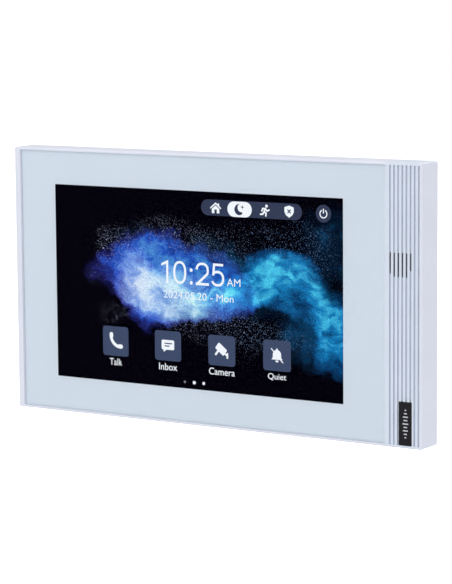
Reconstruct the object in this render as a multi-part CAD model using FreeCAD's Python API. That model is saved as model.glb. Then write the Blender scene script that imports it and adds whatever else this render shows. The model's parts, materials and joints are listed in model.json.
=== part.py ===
import FreeCAD, Part
import math
import os

# Wall-mounted video intercom monitor with a 7-inch touch screen, as an assembly of separate pieces.
#
# Units are millimetres. +X is to the right and +Z is up for someone looking at the screen, and +Y points
# into the wall. The origin is on the wall face of the bracket, at the centre of the casing. Each function
# builds one piece, or one group of identical pieces, and the last lines write each one as a STEP file.

Vector = FreeCAD.Vector

# ---------------------------------------------------------------------------------------------------------
# Driving dimensions
# ---------------------------------------------------------------------------------------------------------

# casing, seen from the front
CASE_WIDTH = 217.0
CASE_HEIGHT = 123.7
CASE_DEPTH = 14.2
CASE_CORNER_R = 1.0
CASE_EDGE_R = 0.8
CASE_INNER_R = 0.8
CASE_WALL = 2.0
WALL_SHADOW_GAP = 0.8

# cover glass
GLASS_WIDTH = 195.5
GLASS_HEIGHT = 121.0
GLASS_THICK = 1.1
GLASS_CORNER_R = 0.6
GLASS_GAP = 0.15
GLASS_SUNK = 0.1
GLASS_CHAMFER = 0.12
LEFT_LIP = 3.5
INK_THICK = 0.03
TAPE_THICK = 0.3
TAPE_INSET = 1.0
LEDGE_THICK = 0.9
LEDGE_OPEN_WIDTH = 167.4
LEDGE_OPEN_HEIGHT = 102.4
LEDGE_OPEN_R = 1.0
TAPE_FROM_OPENING = 0.5

# ribbed strip on the right of the glass
GROOVE_COUNT = 8
GROOVE_PITCH = 2.0
GROOVE_WIDTH = 0.9
GROOVE_DEPTH = 0.8
FIRST_GROOVE_FROM_RIGHT = 15.5
SLOT_COUNT = 6
SLOT_WIDTH = 0.88
SLOT_END_R = 0.3
SLOT_TOP_Z = 23.0
SLOT_BOTTOM_Z = 12.4
FIRST_SLOT_BOTTOM_Z = 13.7
LAST_SLOT_BOTTOM_Z = 15.4
BADGE_WIDTH = 6.3
BADGE_HEIGHT = 19.1
BADGE_THICK = 0.7
BADGE_PROUD = 0.05
BADGE_CLEARANCE = 0.05
BADGE_CORNER_R = 0.3
BADGE_OFFSET = -0.45

# screen: widths and heights of its layers, then their thicknesses from front to back
SCREEN_SIZE = (154.2, 90.35)
TOUCH_SIZE = (163.4, 98.6)
GASKET_SIZE = (163.0, 98.2)
MODULE_SIZE = (164.9, 100.0)
CELL_SIZE = (160.5, 95.6)
FILM_SIZE = (158.0, 93.5)
BOND_THICK = 0.12
TOUCH_THICK = 0.55
TOUCH_CORNER_R = 0.5
GASKET_THICK = 0.2
BEZEL_THICK = 0.3
CELL_THICK = 1.2
FILM_COUNT = 3
FILM_THICK = 0.09
FILM_PITCH = 0.12
FILMS_THICK = 0.4
GUIDE_THICK = 0.9
REFLECTOR_THICK = 0.15
TRAY_FLOOR = 0.4
TRAY_WALL = 2.4
TRAY_NOTCH_HEIGHT = 3.0
BEZEL_OVERLAP = 0.4
LAYER_GAP = 0.02
FIT_GAP = 0.05
MODULE_GAP = 0.1

# row of light-emitting diodes under the light guide
LED_COUNT = 24
LED_PITCH = 6.0
LED_WIDTH = 3.0
LED_HEIGHT = 1.15
LED_Z = -45.875
LED_INSET = 0.15
LED_STRIP_SIZE = (150.0, 0.3)
LED_STRIP_Z = -46.6
LED_STRIP_INSET = 0.05
GUIDE_SIZE = (158.0, 91.9)
GUIDE_Z = 0.8

# wall bracket and how the monitor hangs on it
BRACKET_THICK = 1.2
BRACKET_WIDTH = 132.0
BRACKET_HEIGHT = 84.0
BRACKET_CORNER_R = 5.0
BRACKET_WINDOW_GAP = 2.0
BRACKET_WINDOW_SIDE_GAP = 2.5
BRACKET_WINDOW_R = 3.0
BOX_SCREW_SPACING = 60.3
PLUG_SPACING_X = 116.0
PLUG_SPACING_Z = 68.0
SCREW_HOLE_R = 2.3
LIFT = 7.0
HOOK_X = 46.0
HOOK_Z = (17.0, -27.0)
HOOK_WIDTH = 10.0
HOOK_RISE = 6.0
HOOK_BEHIND_FLOOR = 0.3
HOOK_LANCE = (11.6, 9.0)

# rear cover and the connector housing that reaches into the wall box
COVER_WALL = 1.6
COVER_CLEARANCE = 0.15
COVER_RIM_THICK = 1.2
COVER_RIM_HEIGHT = 2.0
COVER_RIM_INNER_R = 0.4
RECESS_DEPTH = 0.8
RECESS_SIDE_GAP = 1.5
RECESS_END_GAP = 1.0
RECESS_CORNER_R = 5.0
POCKET_WIDTH = 10.0
POCKET_DEPTH = 2.8
POCKET_WALL = 1.0
POCKET_CORNER_R = 4.9
HOOK_SLOT_SIDE_GAP = 0.6
HOOK_SLOT_TOP_GAP = 0.05
HOUSING_WIDTH = 45.0
HOUSING_HEIGHT = 56.0
HOUSING_REACH = 8.4
HOUSING_CORNER_R = 3.0
WINDOW_CORNER_R = 0.5
VENT_COUNT = 17
VENT_PITCH = 7.0
VENT_Z = 48.0
VENT_SIZE = (2.0, 4.8)
VENT_END_R = 0.95
LABEL_CENTRE = (-84.0, 4.0)
LABEL_SIZE = (26.0, 36.0)
LABEL_THICK = 0.1
LABEL_CORNER_R = 1.5

# screws: head radius, head height, shank radius and length under the head
COVER_SCREW = (2.3, 1.6, 1.25, 6.5)
CHASSIS_SCREW = (2.0, 1.3, 1.0, 3.4)
BOARD_SCREW = (2.0, 1.2, 1.0, 2.6)
SPEAKER_SCREW = (1.8, 1.2, 0.9, 4.2)
THREAD_ROOM = 0.05

# bosses, seats and holes of those screws
BOSS_R = 3.0
SPEAKER_BOSS_R = 2.4
PILOT_FLOOR = 0.2
COVER_PILOT_FLOOR = 1.0
COVER_SEAT_DROP = 1.8
COVER_SEAT_THICK = 1.2
COVER_SEAT_R = 3.7
COVER_SEAT_HOLE_R = 2.7
COVER_SHANK_HOLE_R = 1.4
CHASSIS_HOLE_R = 1.25
BOARD_HOLE_R = 1.3
EAR_HOLE_R = 1.2
STANDOFF_FOOT_R = 1.5
STANDOFF_FOOT_HOLE_R = 1.55
STANDOFF_BODY_R = 2.6

# chassis
CHASSIS_THICK = 0.8
CHASSIS_X = (-100.0, 86.0)
CHASSIS_HALF_Z = 48.8
FLANGE_X = (-88.0, 74.0)
FLANGE_HEIGHT = 1.6
CHASSIS_WINDOW_CENTRES = ((-79.0, -22.0), (-79.0, 22.0))
CHASSIS_WINDOW_SIZE = (22.0, 34.0)
CHASSIS_WINDOW_R = 2.0

# main board, and its parts as (centre x, centre z, width, height, thickness)
BOARD_THICK = 1.2
BOARD_X = (-62.0, 60.0)
BOARD_Z = (-38.0, 44.0)
BOARD_CORNER_R = 2.0
STANDOFF_HEIGHT = 1.0
PROCESSOR = (-53.0, -8.0, 12.0, 12.0, 1.1)
SUPPORT_CHIPS = (
    (-43.0, -2.5, 7.0, 10.0, 1.0),
    (-43.0, -11.8, 7.0, 5.0, 1.0),
    (-54.0, 2.6, 11.0, 5.6, 1.0),
    (47.0, 10.0, 6.0, 6.0, 0.9),
    (33.0, 30.0, 7.0, 7.0, 1.0),
    (-30.0, 14.0, 8.0, 8.0, 1.0),
    (27.0, -28.0, 5.0, 6.0, 1.2),
)
INDUCTORS = (
    (39.0, 2.0, 5.2, 5.2, 2.6),
    (46.5, 2.0, 5.2, 5.2, 2.6),
    (39.0, -6.0, 5.2, 5.2, 2.6),
    (46.5, -6.0, 5.2, 5.2, 2.6),
)
SHIELD_CENTRE = (-48.8, -4.2)
SHIELD_SIZE = 22.0
SHIELD_HEIGHT = 2.3
SHIELD_WALL = 0.2
THERMAL_PAD = (-49.0, -4.0, 20.0, 20.0)
WIFI_BASE = (-29.0, 35.0, 12.0, 13.0, 0.6)
WIFI_LID = (-29.0, 34.2, 11.0, 10.0)
WIFI_LID_HEIGHT = 1.6
CABLE_SOCKET_Z = BOARD_Z[0] + 3.0
CABLE_SOCKET_SIZE = (3.0, 4.4, 1.1)
LEAD_SOCKETS = (
    (57.0, 14.0, 5.0, 6.0, 2.4),
    (57.0, -14.0, 5.0, 6.0, 2.4),
)

# flat cables: X range, height where each leaves the display, and how low its fold hangs
TOUCH_FLEX = ((-24.0, -12.0), -49.35, -50.35)
CELL_FLEX = ((8.0, 34.0), -47.85, -50.45)
BACKLIGHT_FLEX = ((-34.0, -28.0), -46.8, -50.4)
FLEX_THICK = 0.12
FLEX_NOTCHES = ((6.0, 36.0), (-35.0, -27.0))

# connector housing: centres on the board
JACK = (-10.5, 15.0)
TRANSFORMER = (10.5, 16.0)
IO_HEADER = (0.0, -3.0)
POWER = (-11.0, -17.0)
CAPACITORS = ((4.0, -18.5), (14.0, -18.5))
RESET = (17.0, -3.0)

# transformer and capacitors
CORE_SIZE = (15.0, 13.0)
CORE_HEIGHT = 10.0
CORE_BASE = 2.0
CORE_WINDOW_X = 4.6
CORE_WINDOW_WIDTH = 2.6
WINDING_SIZE = (2.5, 15.4)
WINDING_R = 0.4
CAPACITOR_R = 4.0
CAPACITOR_HEIGHT = 10.5
CAPACITOR_EDGE_R = 0.5

# network socket
JACK_SHELL_SIZE = (16.2, 13.4)
JACK_SHELL_THICK = 0.25
JACK_BODY_SIZE = (15.6, 12.8)
JACK_WINDOW_SIZE = (16.8, 14.2)
JACK_BELOW_HOUSING = 0.2
PLUG_CAVITY = (11.9, 6.9)
PLUG_CAVITY_RAISED = 1.0
PLUG_CAVITY_DEPTH = 12.6
LATCH_NOTCH = (6.4, 3.0)
LATCH_NOTCH_DROP = 1.2
LATCH_NOTCH_FLOOR = 4.0
CONTACT_COUNT = 8
CONTACT_PITCH = 1.02
CONTACT_WIDTH = 0.4
CONTACT_THICK = 0.25

# data header
IO_COLUMNS = 8
IO_ROWS = 2
IO_PITCH = 2.54
IO_HEIGHT = 9.0
IO_FLOOR = 2.4
IO_OUTER = (23.0, 8.8)
IO_INNER = (20.9, 6.6)
IO_WINDOW_SIZE = (24.2, 10.0)
IO_KEY = (4.4, 3.0)
IO_PIN_WIDTH = 0.64
IO_PIN_HOLE = 0.68
IO_PIN_START = 0.4
IO_PIN_BELOW_TOP = 0.8

# power connector and its plug
POWER_POLES = (-1, 1)
POWER_PITCH = 5.08
POWER_OUTER = (12.0, 8.8)
POWER_INNER = (10.6, 7.4)
POWER_WINDOW_SIZE = (13.0, 10.2)
POWER_SOCKET_DEPTH = 8.8
POWER_SOCKET_FLOOR = 1.4
POWER_PIN_WIDTH = 1.0
POWER_PIN_HOLE = 1.06
POWER_PIN_HEIGHT = 7.6
PLUG_NOSE_SIZE = (10.2, 7.0)
PLUG_HEAD_SIZE = (11.2, 8.6)
PLUG_HEAD_LENGTH = 11.0
PLUG_HEAD_CHAMFER = 0.5
PLUG_NOSE_GAP = 0.4
PLUG_SHOULDER_GAP = 0.3
PLUG_PIN_HOLE = 1.5
PLUG_PIN_HOLE_EXTRA = 0.5
WIRE_ENTRY = 3.0
WIRE_ENTRY_RAISED = 0.3
WIRE_ENTRY_DEPTH = 8.0
CLAMP_FROM_SHOULDER = 5.6
CLAMP_HOLE_R = 1.6
CLAMP_HOLE_TOP = 1.1
CLAMP_SCREW_R = 1.5
CLAMP_SCREW_LENGTH = 2.8
CLAMP_SCREW_LOW = 4.1
CLAMP_SLOT_WIDTH = 0.5
CLAMP_SLOT_DEPTH = 0.8

# reset switch
RESET_SWITCH_SIZE = 6.0
RESET_SWITCH_HEIGHT = 3.5
RESET_SWITCH_R = 0.4
RESET_WELL_R = 1.75
RESET_WELL_FLOOR = 1.6
RESET_BUTTON_R = 1.7
RESET_TRAVEL = 0.4
RESET_REST_GAP = 0.1
RESET_BELOW_HOUSING = 0.6
RESET_PIN_HOLE_R = 1.1

# speaker, behind the slots
SPEAKER_FROM_WALL = 9.0
SPEAKER_WIDTH = 16.0
SPEAKER_HEIGHT = 30.0
SPEAKER_DEPTH = 7.0
SPEAKER_WALL = 1.0
SPEAKER_CORNER_R = 1.5
SPEAKER_EAR = 5.0
EAR_HALF_WIDTH = 3.0
EAR_THICK = 1.2
EAR_OFFSET = 3.0
EAR_OVERLAP = 0.5
SPEAKER_GASKET_THICK = 0.5
SPEAKER_GASKET_OUTER = (15.6, 27.0)
SPEAKER_GASKET_INNER = (13.0, 24.4)
SPEAKER_GASKET_RADII = (2.0, 1.5)
CLOTH_OFFSET = 0.4
CLOTH_SIZE = (11.8, 13.4)
CLOTH_THICK = 0.15
DRIVER_OPENING = (13.7, 25.1)
DRIVER_OPENING_R = 3.0
BASKET_OUTER = (13.6, 25.0)
BASKET_RIM_INNER = (12.2, 23.2)
BASKET_SEAT_INNER = (11.1, 20.1)
BASKET_OUTER_R = 2.9
BASKET_FRONT = 0.05
BASKET_RIM_HEIGHT = 1.6
BASKET_SEAT_HEIGHT = 1.0
CONE_FRONT = 0.6
CONE_THICK = 0.3
SURROUND_OUTER = (12.1, 23.1)
SURROUND_INNER = (10.6, 21.6)
CONE_SIZE = (10.4, 21.4)
CONE_CORNER_R = 1.9
COIL_OUTER = (8.0, 16.0)
COIL_INNER = (7.2, 15.2)
COIL_HEIGHT = 2.4
MAGNET_SIZE = (6.4, 14.4)
MAGNET_FRONT = 1.6
MAGNET_HEIGHT = 2.3
YOKE_OUTER = (11.0, 20.0)
YOKE_INNER = (8.8, 17.0)
YOKE_FRONT = 2.0
YOKE_HEIGHT = 2.7
YOKE_FLOOR = 0.8
YOKE_CORNER_R = 1.4

# microphone in the bottom wall
MIC_X = 88.0
MIC_Y = -8.4
MIC_R = 3.0
MIC_HEIGHT = 2.6
MIC_RAISED = 1.4
MIC_HOLE_R = 0.7
MIC_BOOT_R = 3.9
MIC_BOOT_HEIGHT = 4.4
MIC_BOOT_HOLE_R = 0.9

# leads and antenna
LEAD_END_X = 59.7
SPEAKER_WIRE_ZS = (12.6, 14.4)
SPEAKER_WIRE_R = 0.5
MIC_LEAD_R = 0.6
ANTENNA_X = (-84.0, -48.0)
ANTENNA_Y = (-11.5, -4.6)
ANTENNA_THICK = 0.3
ANTENNA_CABLE_R = 0.5

# ---------------------------------------------------------------------------------------------------------
# Planes and centres worked out from them (front to back)
# ---------------------------------------------------------------------------------------------------------

FAR_FRONT = -40.0  # in front of everything, for cuts that start outside a piece
FAR_BACK = 40.0  # behind everything

Y_CASE_BACK = -WALL_SHADOW_GAP
Y_FRONT = Y_CASE_BACK - CASE_DEPTH
Y_GLASS_FRONT = Y_FRONT + GLASS_SUNK
Y_GLASS_BACK = Y_GLASS_FRONT + GLASS_THICK
Y_LEDGE_FRONT = Y_GLASS_BACK + TAPE_THICK
Y_CAVITY = Y_LEDGE_FRONT + LEDGE_THICK

Y_TOUCH_FRONT = Y_GLASS_BACK + BOND_THICK
Y_TOUCH_BACK = Y_TOUCH_FRONT + TOUCH_THICK
Y_LCD_FRONT = Y_TOUCH_BACK + GASKET_THICK
Y_CELL_FRONT = Y_LCD_FRONT + BEZEL_THICK
Y_CELL_BACK = Y_CELL_FRONT + CELL_THICK
Y_FILMS_BACK = Y_CELL_BACK + FILMS_THICK
Y_GUIDE_BACK = Y_FILMS_BACK + GUIDE_THICK
Y_REFLECTOR_BACK = Y_GUIDE_BACK + REFLECTOR_THICK
Y_LCD_BACK = Y_REFLECTOR_BACK + TRAY_FLOOR
Y_CHASSIS_FRONT = Y_LCD_BACK + MODULE_GAP
Y_CHASSIS_BACK = Y_CHASSIS_FRONT + CHASSIS_THICK
Y_BOARD_FRONT = Y_CHASSIS_BACK + STANDOFF_HEIGHT
Y_BOARD_BACK = Y_BOARD_FRONT + BOARD_THICK

Y_BRACKET_FRONT = -BRACKET_THICK
Y_COVER_INNER = Y_CASE_BACK - COVER_WALL
Y_RECESS = Y_CASE_BACK - RECESS_DEPTH
Y_RECESS_INNER = Y_RECESS - COVER_WALL
Y_HOUSING_INNER = HOUSING_REACH - COVER_WALL
Y_COVER_SEAT = Y_COVER_INNER - COVER_SEAT_DROP
Y_COVER_HEAD = Y_COVER_SEAT + COVER_SEAT_THICK

RIGHT_X = CASE_WIDTH / 2
GLASS_X = -CASE_WIDTH / 2 + LEFT_LIP + GLASS_WIDTH / 2
INNER_X = RIGHT_X - CASE_WALL
INNER_Z = CASE_HEIGHT / 2 - CASE_WALL
GROOVE_XS = [RIGHT_X - FIRST_GROOVE_FROM_RIGHT + GROOVE_PITCH * i for i in range(GROOVE_COUNT)]
GROOVE_END_Z = GLASS_HEIGHT / 2
BADGE_X = GROOVE_XS[4] + BADGE_OFFSET
BADGE_Z = -GROOVE_END_Z + BADGE_HEIGHT / 2
BEZEL_INSIDE = (MODULE_SIZE[0] - 2 * BEZEL_THICK, MODULE_SIZE[1] - 2 * BEZEL_THICK)

SPEAKER_X = INNER_X - SPEAKER_FROM_WALL
SPEAKER_Z = (SLOT_TOP_Z + SLOT_BOTTOM_Z) / 2
Y_SPEAKER = Y_CAVITY + SPEAKER_GASKET_THICK
Y_EAR = Y_SPEAKER + EAR_OFFSET

JACK_TOP_Y = HOUSING_REACH - JACK_BELOW_HOUSING
PLUG_CAVITY_Y = JACK_TOP_Y - PLUG_CAVITY_DEPTH
PLUG_NOSE_Y = Y_BOARD_BACK + POWER_SOCKET_FLOOR + PLUG_NOSE_GAP
PLUG_SHOULDER_Y = Y_BOARD_BACK + POWER_SOCKET_DEPTH + PLUG_SHOULDER_GAP
PLUG_END_Y = PLUG_SHOULDER_Y + PLUG_HEAD_LENGTH
CLAMP_Y = PLUG_SHOULDER_Y + CLAMP_FROM_SHOULDER

# where pieces are fastened
COVER_SCREWS = [(x, z) for x in (-100.0, 101.0) for z in (-53.8, 53.8)]
COVER_SCREWS += [(x, z) for x in (-34.0, 34.0) for z in (-54.8, 54.8)]
CHASSIS_SCREWS = [(x, z) for x in (-96.5, 82.5) for z in (-36.0, 36.0)]
BOARD_SCREWS = [(x, z) for x in (-42.0, 42.0) for z in (-33.0, 38.0)]
BOARD_SCREWS += [(0.0, 40.0), (0.0, -34.0)]
SPEAKER_SCREWS = [(SPEAKER_X, SPEAKER_Z + s * (SPEAKER_HEIGHT + SPEAKER_EAR) / 2) for s in (-1, 1)]
PLUG_HOLES = [(sx * PLUG_SPACING_X / 2, sz * PLUG_SPACING_Z / 2) for sx in (-1, 1) for sz in (-1, 1)]
BOX_HOLES = [(sx * BOX_SCREW_SPACING / 2, 0.0) for sx in (-1, 1)]


# ---------------------------------------------------------------------------------------------------------
# Building blocks
# ---------------------------------------------------------------------------------------------------------

def box(x0, x1, y0, y1, z0, z1):
    """Block between two corners."""
    return Part.makeBox(x1 - x0, y1 - y0, z1 - z0, Vector(x0, y0, z0))


def block(x, z, width, height, y0, y1):
    """Block centred on (x, z) that runs from y0 to y1."""
    return box(x - width / 2, x + width / 2, y0, y1, z - height / 2, z + height / 2)


def plate(x, z, width, height, y0, y1, corner_r):
    """Like block(), with its four corners rounded in the front view."""
    solid = block(x, z, width, height, y0, y1)
    corners = [e for e in solid.Edges if e.BoundBox.YLength > (y1 - y0) / 2]
    return solid.makeFillet(corner_r, corners)


def frame(x, z, outer, inner, y0, y1, outer_r=0.0, inner_r=0.0):
    """Flat frame from y0 to y1; outer and inner are (width, height)."""
    body = plate(x, z, *outer, y0, y1, outer_r) if outer_r else block(x, z, *outer, y0, y1)
    if inner_r:
        return body.cut(plate(x, z, *inner, FAR_FRONT, FAR_BACK, inner_r))
    return body.cut(block(x, z, *inner, FAR_FRONT, FAR_BACK))


def rod(x, z, r, y0, y1):
    """Cylinder along Y."""
    return Part.makeCylinder(r, y1 - y0, Vector(x, y0, z), Vector(0, 1, 0))


def hole(x, z, r):
    """Cutter for a round hole along Y, right through everything."""
    return rod(x, z, r, FAR_FRONT, FAR_BACK)


def upright(x, y, r, z0, z1):
    """Cylinder along Z."""
    return Part.makeCylinder(r, z1 - z0, Vector(x, y, z0))


def edges_at(solid, y):
    """Edges that lie in the plane at y."""
    near = 0.01
    return [e for e in solid.Edges if abs(e.BoundBox.YMin - y) < near and abs(e.BoundBox.YMax - y) < near]


def merged(solids):
    """One solid from touching or overlapping solids."""
    result = solids[0]
    for other in solids[1:]:
        result = result.fuse(other)
    return result.removeSplitter()


def group(solids):
    """Separate solids in one node."""
    return Part.makeCompound(solids)


def unit(y, z):
    length = math.hypot(y, z)
    return y / length, z / length


def ribbon(points, thick, x0, x1):
    """Flat strip of even thickness that follows (y, z) points, from x0 to x1."""
    left, right = [], []
    for i, (y, z) in enumerate(points):
        before = points[max(i - 1, 0)]
        after = points[min(i + 1, len(points) - 1)]
        d_in = unit(y - before[0], z - before[1]) if i else None
        d_out = unit(after[0] - y, after[1] - z) if i < len(points) - 1 else None
        d_in, d_out = d_in or d_out, d_out or d_in
        ny, nz = -(d_in[1] + d_out[1]), d_in[0] + d_out[0]
        scale = thick / (ny * ny + nz * nz)
        left.append((y + ny * scale, z + nz * scale))
        right.append((y - ny * scale, z - nz * scale))
    corners = [Vector(x0, y, z) for y, z in left + right[::-1]]
    face = Part.Face(Part.makePolygon(corners + corners[:1]))
    return face.extrude(Vector(x1 - x0, 0, 0))


def wire_along(points, r):
    """Round wire that follows a smooth curve through the points."""
    curve = Part.BSplineCurve()
    curve.interpolate([Vector(*p) for p in points])
    path = Part.Wire(curve.toShape())
    start = curve.value(curve.FirstParameter)
    tangent = curve.tangent(curve.FirstParameter)[0]
    profile = Part.Wire(Part.makeCircle(r, start, tangent))
    return path.makePipeShell([profile], True, True)


def pan_screw(x, z, y_seat, head_r, head_h, shank_r, length):
    """Pan-head screw with a cross recess, its head on the +Y side of y_seat and its shank towards -Y."""
    top = y_seat + head_h
    head = rod(x, z, head_r, y_seat, top)
    head = head.makeFillet(head_h * 0.45, edges_at(head, top))
    shank = rod(x, z, shank_r, y_seat - length, y_seat)
    cross_length, cross_width, cross_floor = head_r * 1.1, head_r * 0.24, top - head_h * 0.55
    recess = block(x, z, cross_length, cross_width, cross_floor, FAR_BACK)
    recess = recess.fuse(block(x, z, cross_width, cross_length, cross_floor, FAR_BACK))
    return merged([head, shank]).cut(recess)


# ---------------------------------------------------------------------------------------------------------
# Wall bracket
# ---------------------------------------------------------------------------------------------------------

def wall_bracket():
    """Stamped steel plate with four lanced hooks, screw holes and a window for the connector housing."""
    body = plate(0, 0, BRACKET_WIDTH, BRACKET_HEIGHT, Y_BRACKET_FRONT, 0, BRACKET_CORNER_R)
    window_width = HOUSING_WIDTH + 2 * BRACKET_WINDOW_SIDE_GAP
    window_height = HOUSING_HEIGHT + LIFT + 2 * BRACKET_WINDOW_GAP
    cuts = [plate(0, LIFT / 2, window_width, window_height, FAR_FRONT, FAR_BACK, BRACKET_WINDOW_R)]
    cuts += [hole(x, z, SCREW_HOLE_R) for x, z in PLUG_HOLES + BOX_HOLES]
    hooks = []
    finger_back = Y_RECESS_INNER - HOOK_BEHIND_FLOOR
    finger_front = finger_back - BRACKET_THICK
    for side in (-1, 1):
        for z in HOOK_Z:
            x = side * HOOK_X
            x0, x1 = x - HOOK_WIDTH / 2, x + HOOK_WIDTH / 2
            top = z + BRACKET_THICK
            cuts.append(block(x, top + HOOK_LANCE[1] / 2, *HOOK_LANCE, FAR_FRONT, FAR_BACK))
            arm = box(x0, x1, finger_front, Y_BRACKET_FRONT / 2, z, top)
            finger = box(x0, x1, finger_front, finger_back, z, z + HOOK_RISE)
            hooks.append(merged([arm, finger]))
    for cut in cuts:
        body = body.cut(cut)
    return merged([body] + hooks)


# ---------------------------------------------------------------------------------------------------------
# Casing
# ---------------------------------------------------------------------------------------------------------

def front_frame():
    """Moulded front casing: side walls, glass pocket, ribbed strip with its slots, and screw bosses."""
    body = plate(0, 0, CASE_WIDTH, CASE_HEIGHT, Y_FRONT, Y_CASE_BACK, CASE_CORNER_R)
    body = body.makeFillet(CASE_EDGE_R, edges_at(body, Y_FRONT))
    cuts = [
        plate(0, 0, 2 * INNER_X, 2 * INNER_Z, Y_CAVITY, FAR_BACK, CASE_INNER_R),
        plate(GLASS_X, 0, GLASS_WIDTH + 2 * GLASS_GAP, GLASS_HEIGHT + 2 * GLASS_GAP,
              FAR_FRONT, Y_LEDGE_FRONT, GLASS_CORNER_R),
        plate(GLASS_X, 0, LEDGE_OPEN_WIDTH, LEDGE_OPEN_HEIGHT, FAR_FRONT, FAR_BACK, LEDGE_OPEN_R),
        plate(BADGE_X, BADGE_Z, BADGE_WIDTH + 2 * BADGE_CLEARANCE, BADGE_HEIGHT + 2 * BADGE_CLEARANCE,
              FAR_FRONT, Y_FRONT + BADGE_THICK, BADGE_CORNER_R),
        upright(MIC_X, MIC_Y, MIC_HOLE_R, -CASE_HEIGHT, -INNER_Z + CASE_WALL),
    ]
    for x in GROOVE_XS:
        cuts.append(block(x, 0, GROOVE_WIDTH, 2 * GROOVE_END_Z, FAR_FRONT, Y_FRONT + GROOVE_DEPTH))
    bottoms = [FIRST_SLOT_BOTTOM_Z] + [SLOT_BOTTOM_Z] * (SLOT_COUNT - 2) + [LAST_SLOT_BOTTOM_Z]
    for x, low in zip(GROOVE_XS, bottoms):
        cuts.append(plate(x, (low + SLOT_TOP_Z) / 2, SLOT_WIDTH, SLOT_TOP_Z - low,
                          FAR_FRONT, FAR_BACK, SLOT_END_R))
    for cut in cuts:
        body = body.cut(cut)
    for boss, pilot in frame_bosses():
        body = body.fuse(boss).cut(pilot)
    return body.removeSplitter()


def frame_bosses():
    """(boss, pilot hole) for every screw that ends in the front frame."""
    kinds = [
        (COVER_SCREWS, BOSS_R, Y_COVER_SEAT, COVER_SCREW, COVER_PILOT_FLOOR),
        (CHASSIS_SCREWS, BOSS_R, Y_CHASSIS_FRONT, CHASSIS_SCREW, PILOT_FLOOR),
        (SPEAKER_SCREWS, SPEAKER_BOSS_R, Y_EAR, SPEAKER_SCREW, PILOT_FLOOR),
    ]
    pairs = []
    for places, boss_r, y_end, screw, floor in kinds:
        for x, z in places:
            boss = rod(x, z, boss_r, Y_CAVITY, y_end)
            pairs.append((boss, rod(x, z, screw[2] + THREAD_ROOM, Y_CAVITY + floor, FAR_BACK)))
    return pairs


def badge_plate():
    """Plain inlay at the foot of the ribbed strip, with no lettering."""
    return plate(BADGE_X, BADGE_Z, BADGE_WIDTH, BADGE_HEIGHT,
                 Y_FRONT - BADGE_PROUD, Y_FRONT + BADGE_THICK, BADGE_CORNER_R)


def rear_cover():
    """Back shell with a recess for the bracket, hook slots, vents, screw seats and the connector housing."""
    body = cover_shell()
    body = add_screw_pockets(body)
    for side in (-1, 1):
        for z in HOOK_Z:
            top = z + BRACKET_THICK + HOOK_SLOT_TOP_GAP
            low = z - LIFT - HOOK_SLOT_SIDE_GAP
            body = body.cut(block(side * HOOK_X, (top + low) / 2, HOOK_WIDTH + 2 * HOOK_SLOT_SIDE_GAP,
                                  top - low, FAR_FRONT, FAR_BACK))
    body = add_connector_housing(body)
    for i in range(VENT_COUNT):
        x = VENT_PITCH * (i - (VENT_COUNT - 1) / 2)
        body = body.cut(plate(x, VENT_Z, *VENT_SIZE, FAR_FRONT, FAR_BACK, VENT_END_R))
    for x, z in COVER_SCREWS:
        body = body.fuse(rod(x, z, COVER_SEAT_R, Y_COVER_SEAT + LAYER_GAP, Y_COVER_INNER))
        body = body.cut(rod(x, z, COVER_SEAT_HOLE_R, Y_COVER_HEAD, FAR_BACK))
        body = body.cut(hole(x, z, COVER_SHANK_HOLE_R))
    return body.removeSplitter()


def cover_shell():
    """Back wall with its rim, and the recess for the bracket with room below it for the lift."""
    rim = (2 * (INNER_X - COVER_CLEARANCE), 2 * (INNER_Z - COVER_CLEARANCE))
    rim_inside = (rim[0] - 2 * COVER_RIM_THICK, rim[1] - 2 * COVER_RIM_THICK)
    body = plate(0, 0, *rim, Y_COVER_INNER, Y_CASE_BACK, CASE_INNER_R)
    body = body.fuse(frame(0, 0, rim, rim_inside, Y_COVER_INNER - COVER_RIM_HEIGHT, Y_COVER_INNER,
                           CASE_INNER_R, COVER_RIM_INNER_R))
    width = BRACKET_WIDTH + 2 * RECESS_SIDE_GAP
    height = BRACKET_HEIGHT + LIFT + 2 * RECESS_END_GAP
    floor = plate(0, -LIFT / 2, width + 2 * COVER_WALL, height + 2 * COVER_WALL,
                  Y_RECESS_INNER, Y_COVER_INNER, RECESS_CORNER_R + COVER_WALL)
    return body.fuse(floor).cut(plate(0, -LIFT / 2, width, height, Y_RECESS, FAR_BACK, RECESS_CORNER_R))


def add_screw_pockets(body):
    """Pockets for the heads of the wall screws, as tall as the lift needs."""
    floor = Y_RECESS - POCKET_DEPTH
    height = POCKET_WIDTH + LIFT
    for x, z in PLUG_HOLES + BOX_HOLES:
        z_mid = z - LIFT / 2
        body = body.fuse(plate(x, z_mid, POCKET_WIDTH + 2 * POCKET_WALL, height + 2 * POCKET_WALL,
                               floor - POCKET_WALL, Y_RECESS_INNER, POCKET_CORNER_R + POCKET_WALL))
        body = body.cut(plate(x, z_mid, POCKET_WIDTH, height, floor, FAR_BACK, POCKET_CORNER_R))
    return body


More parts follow.
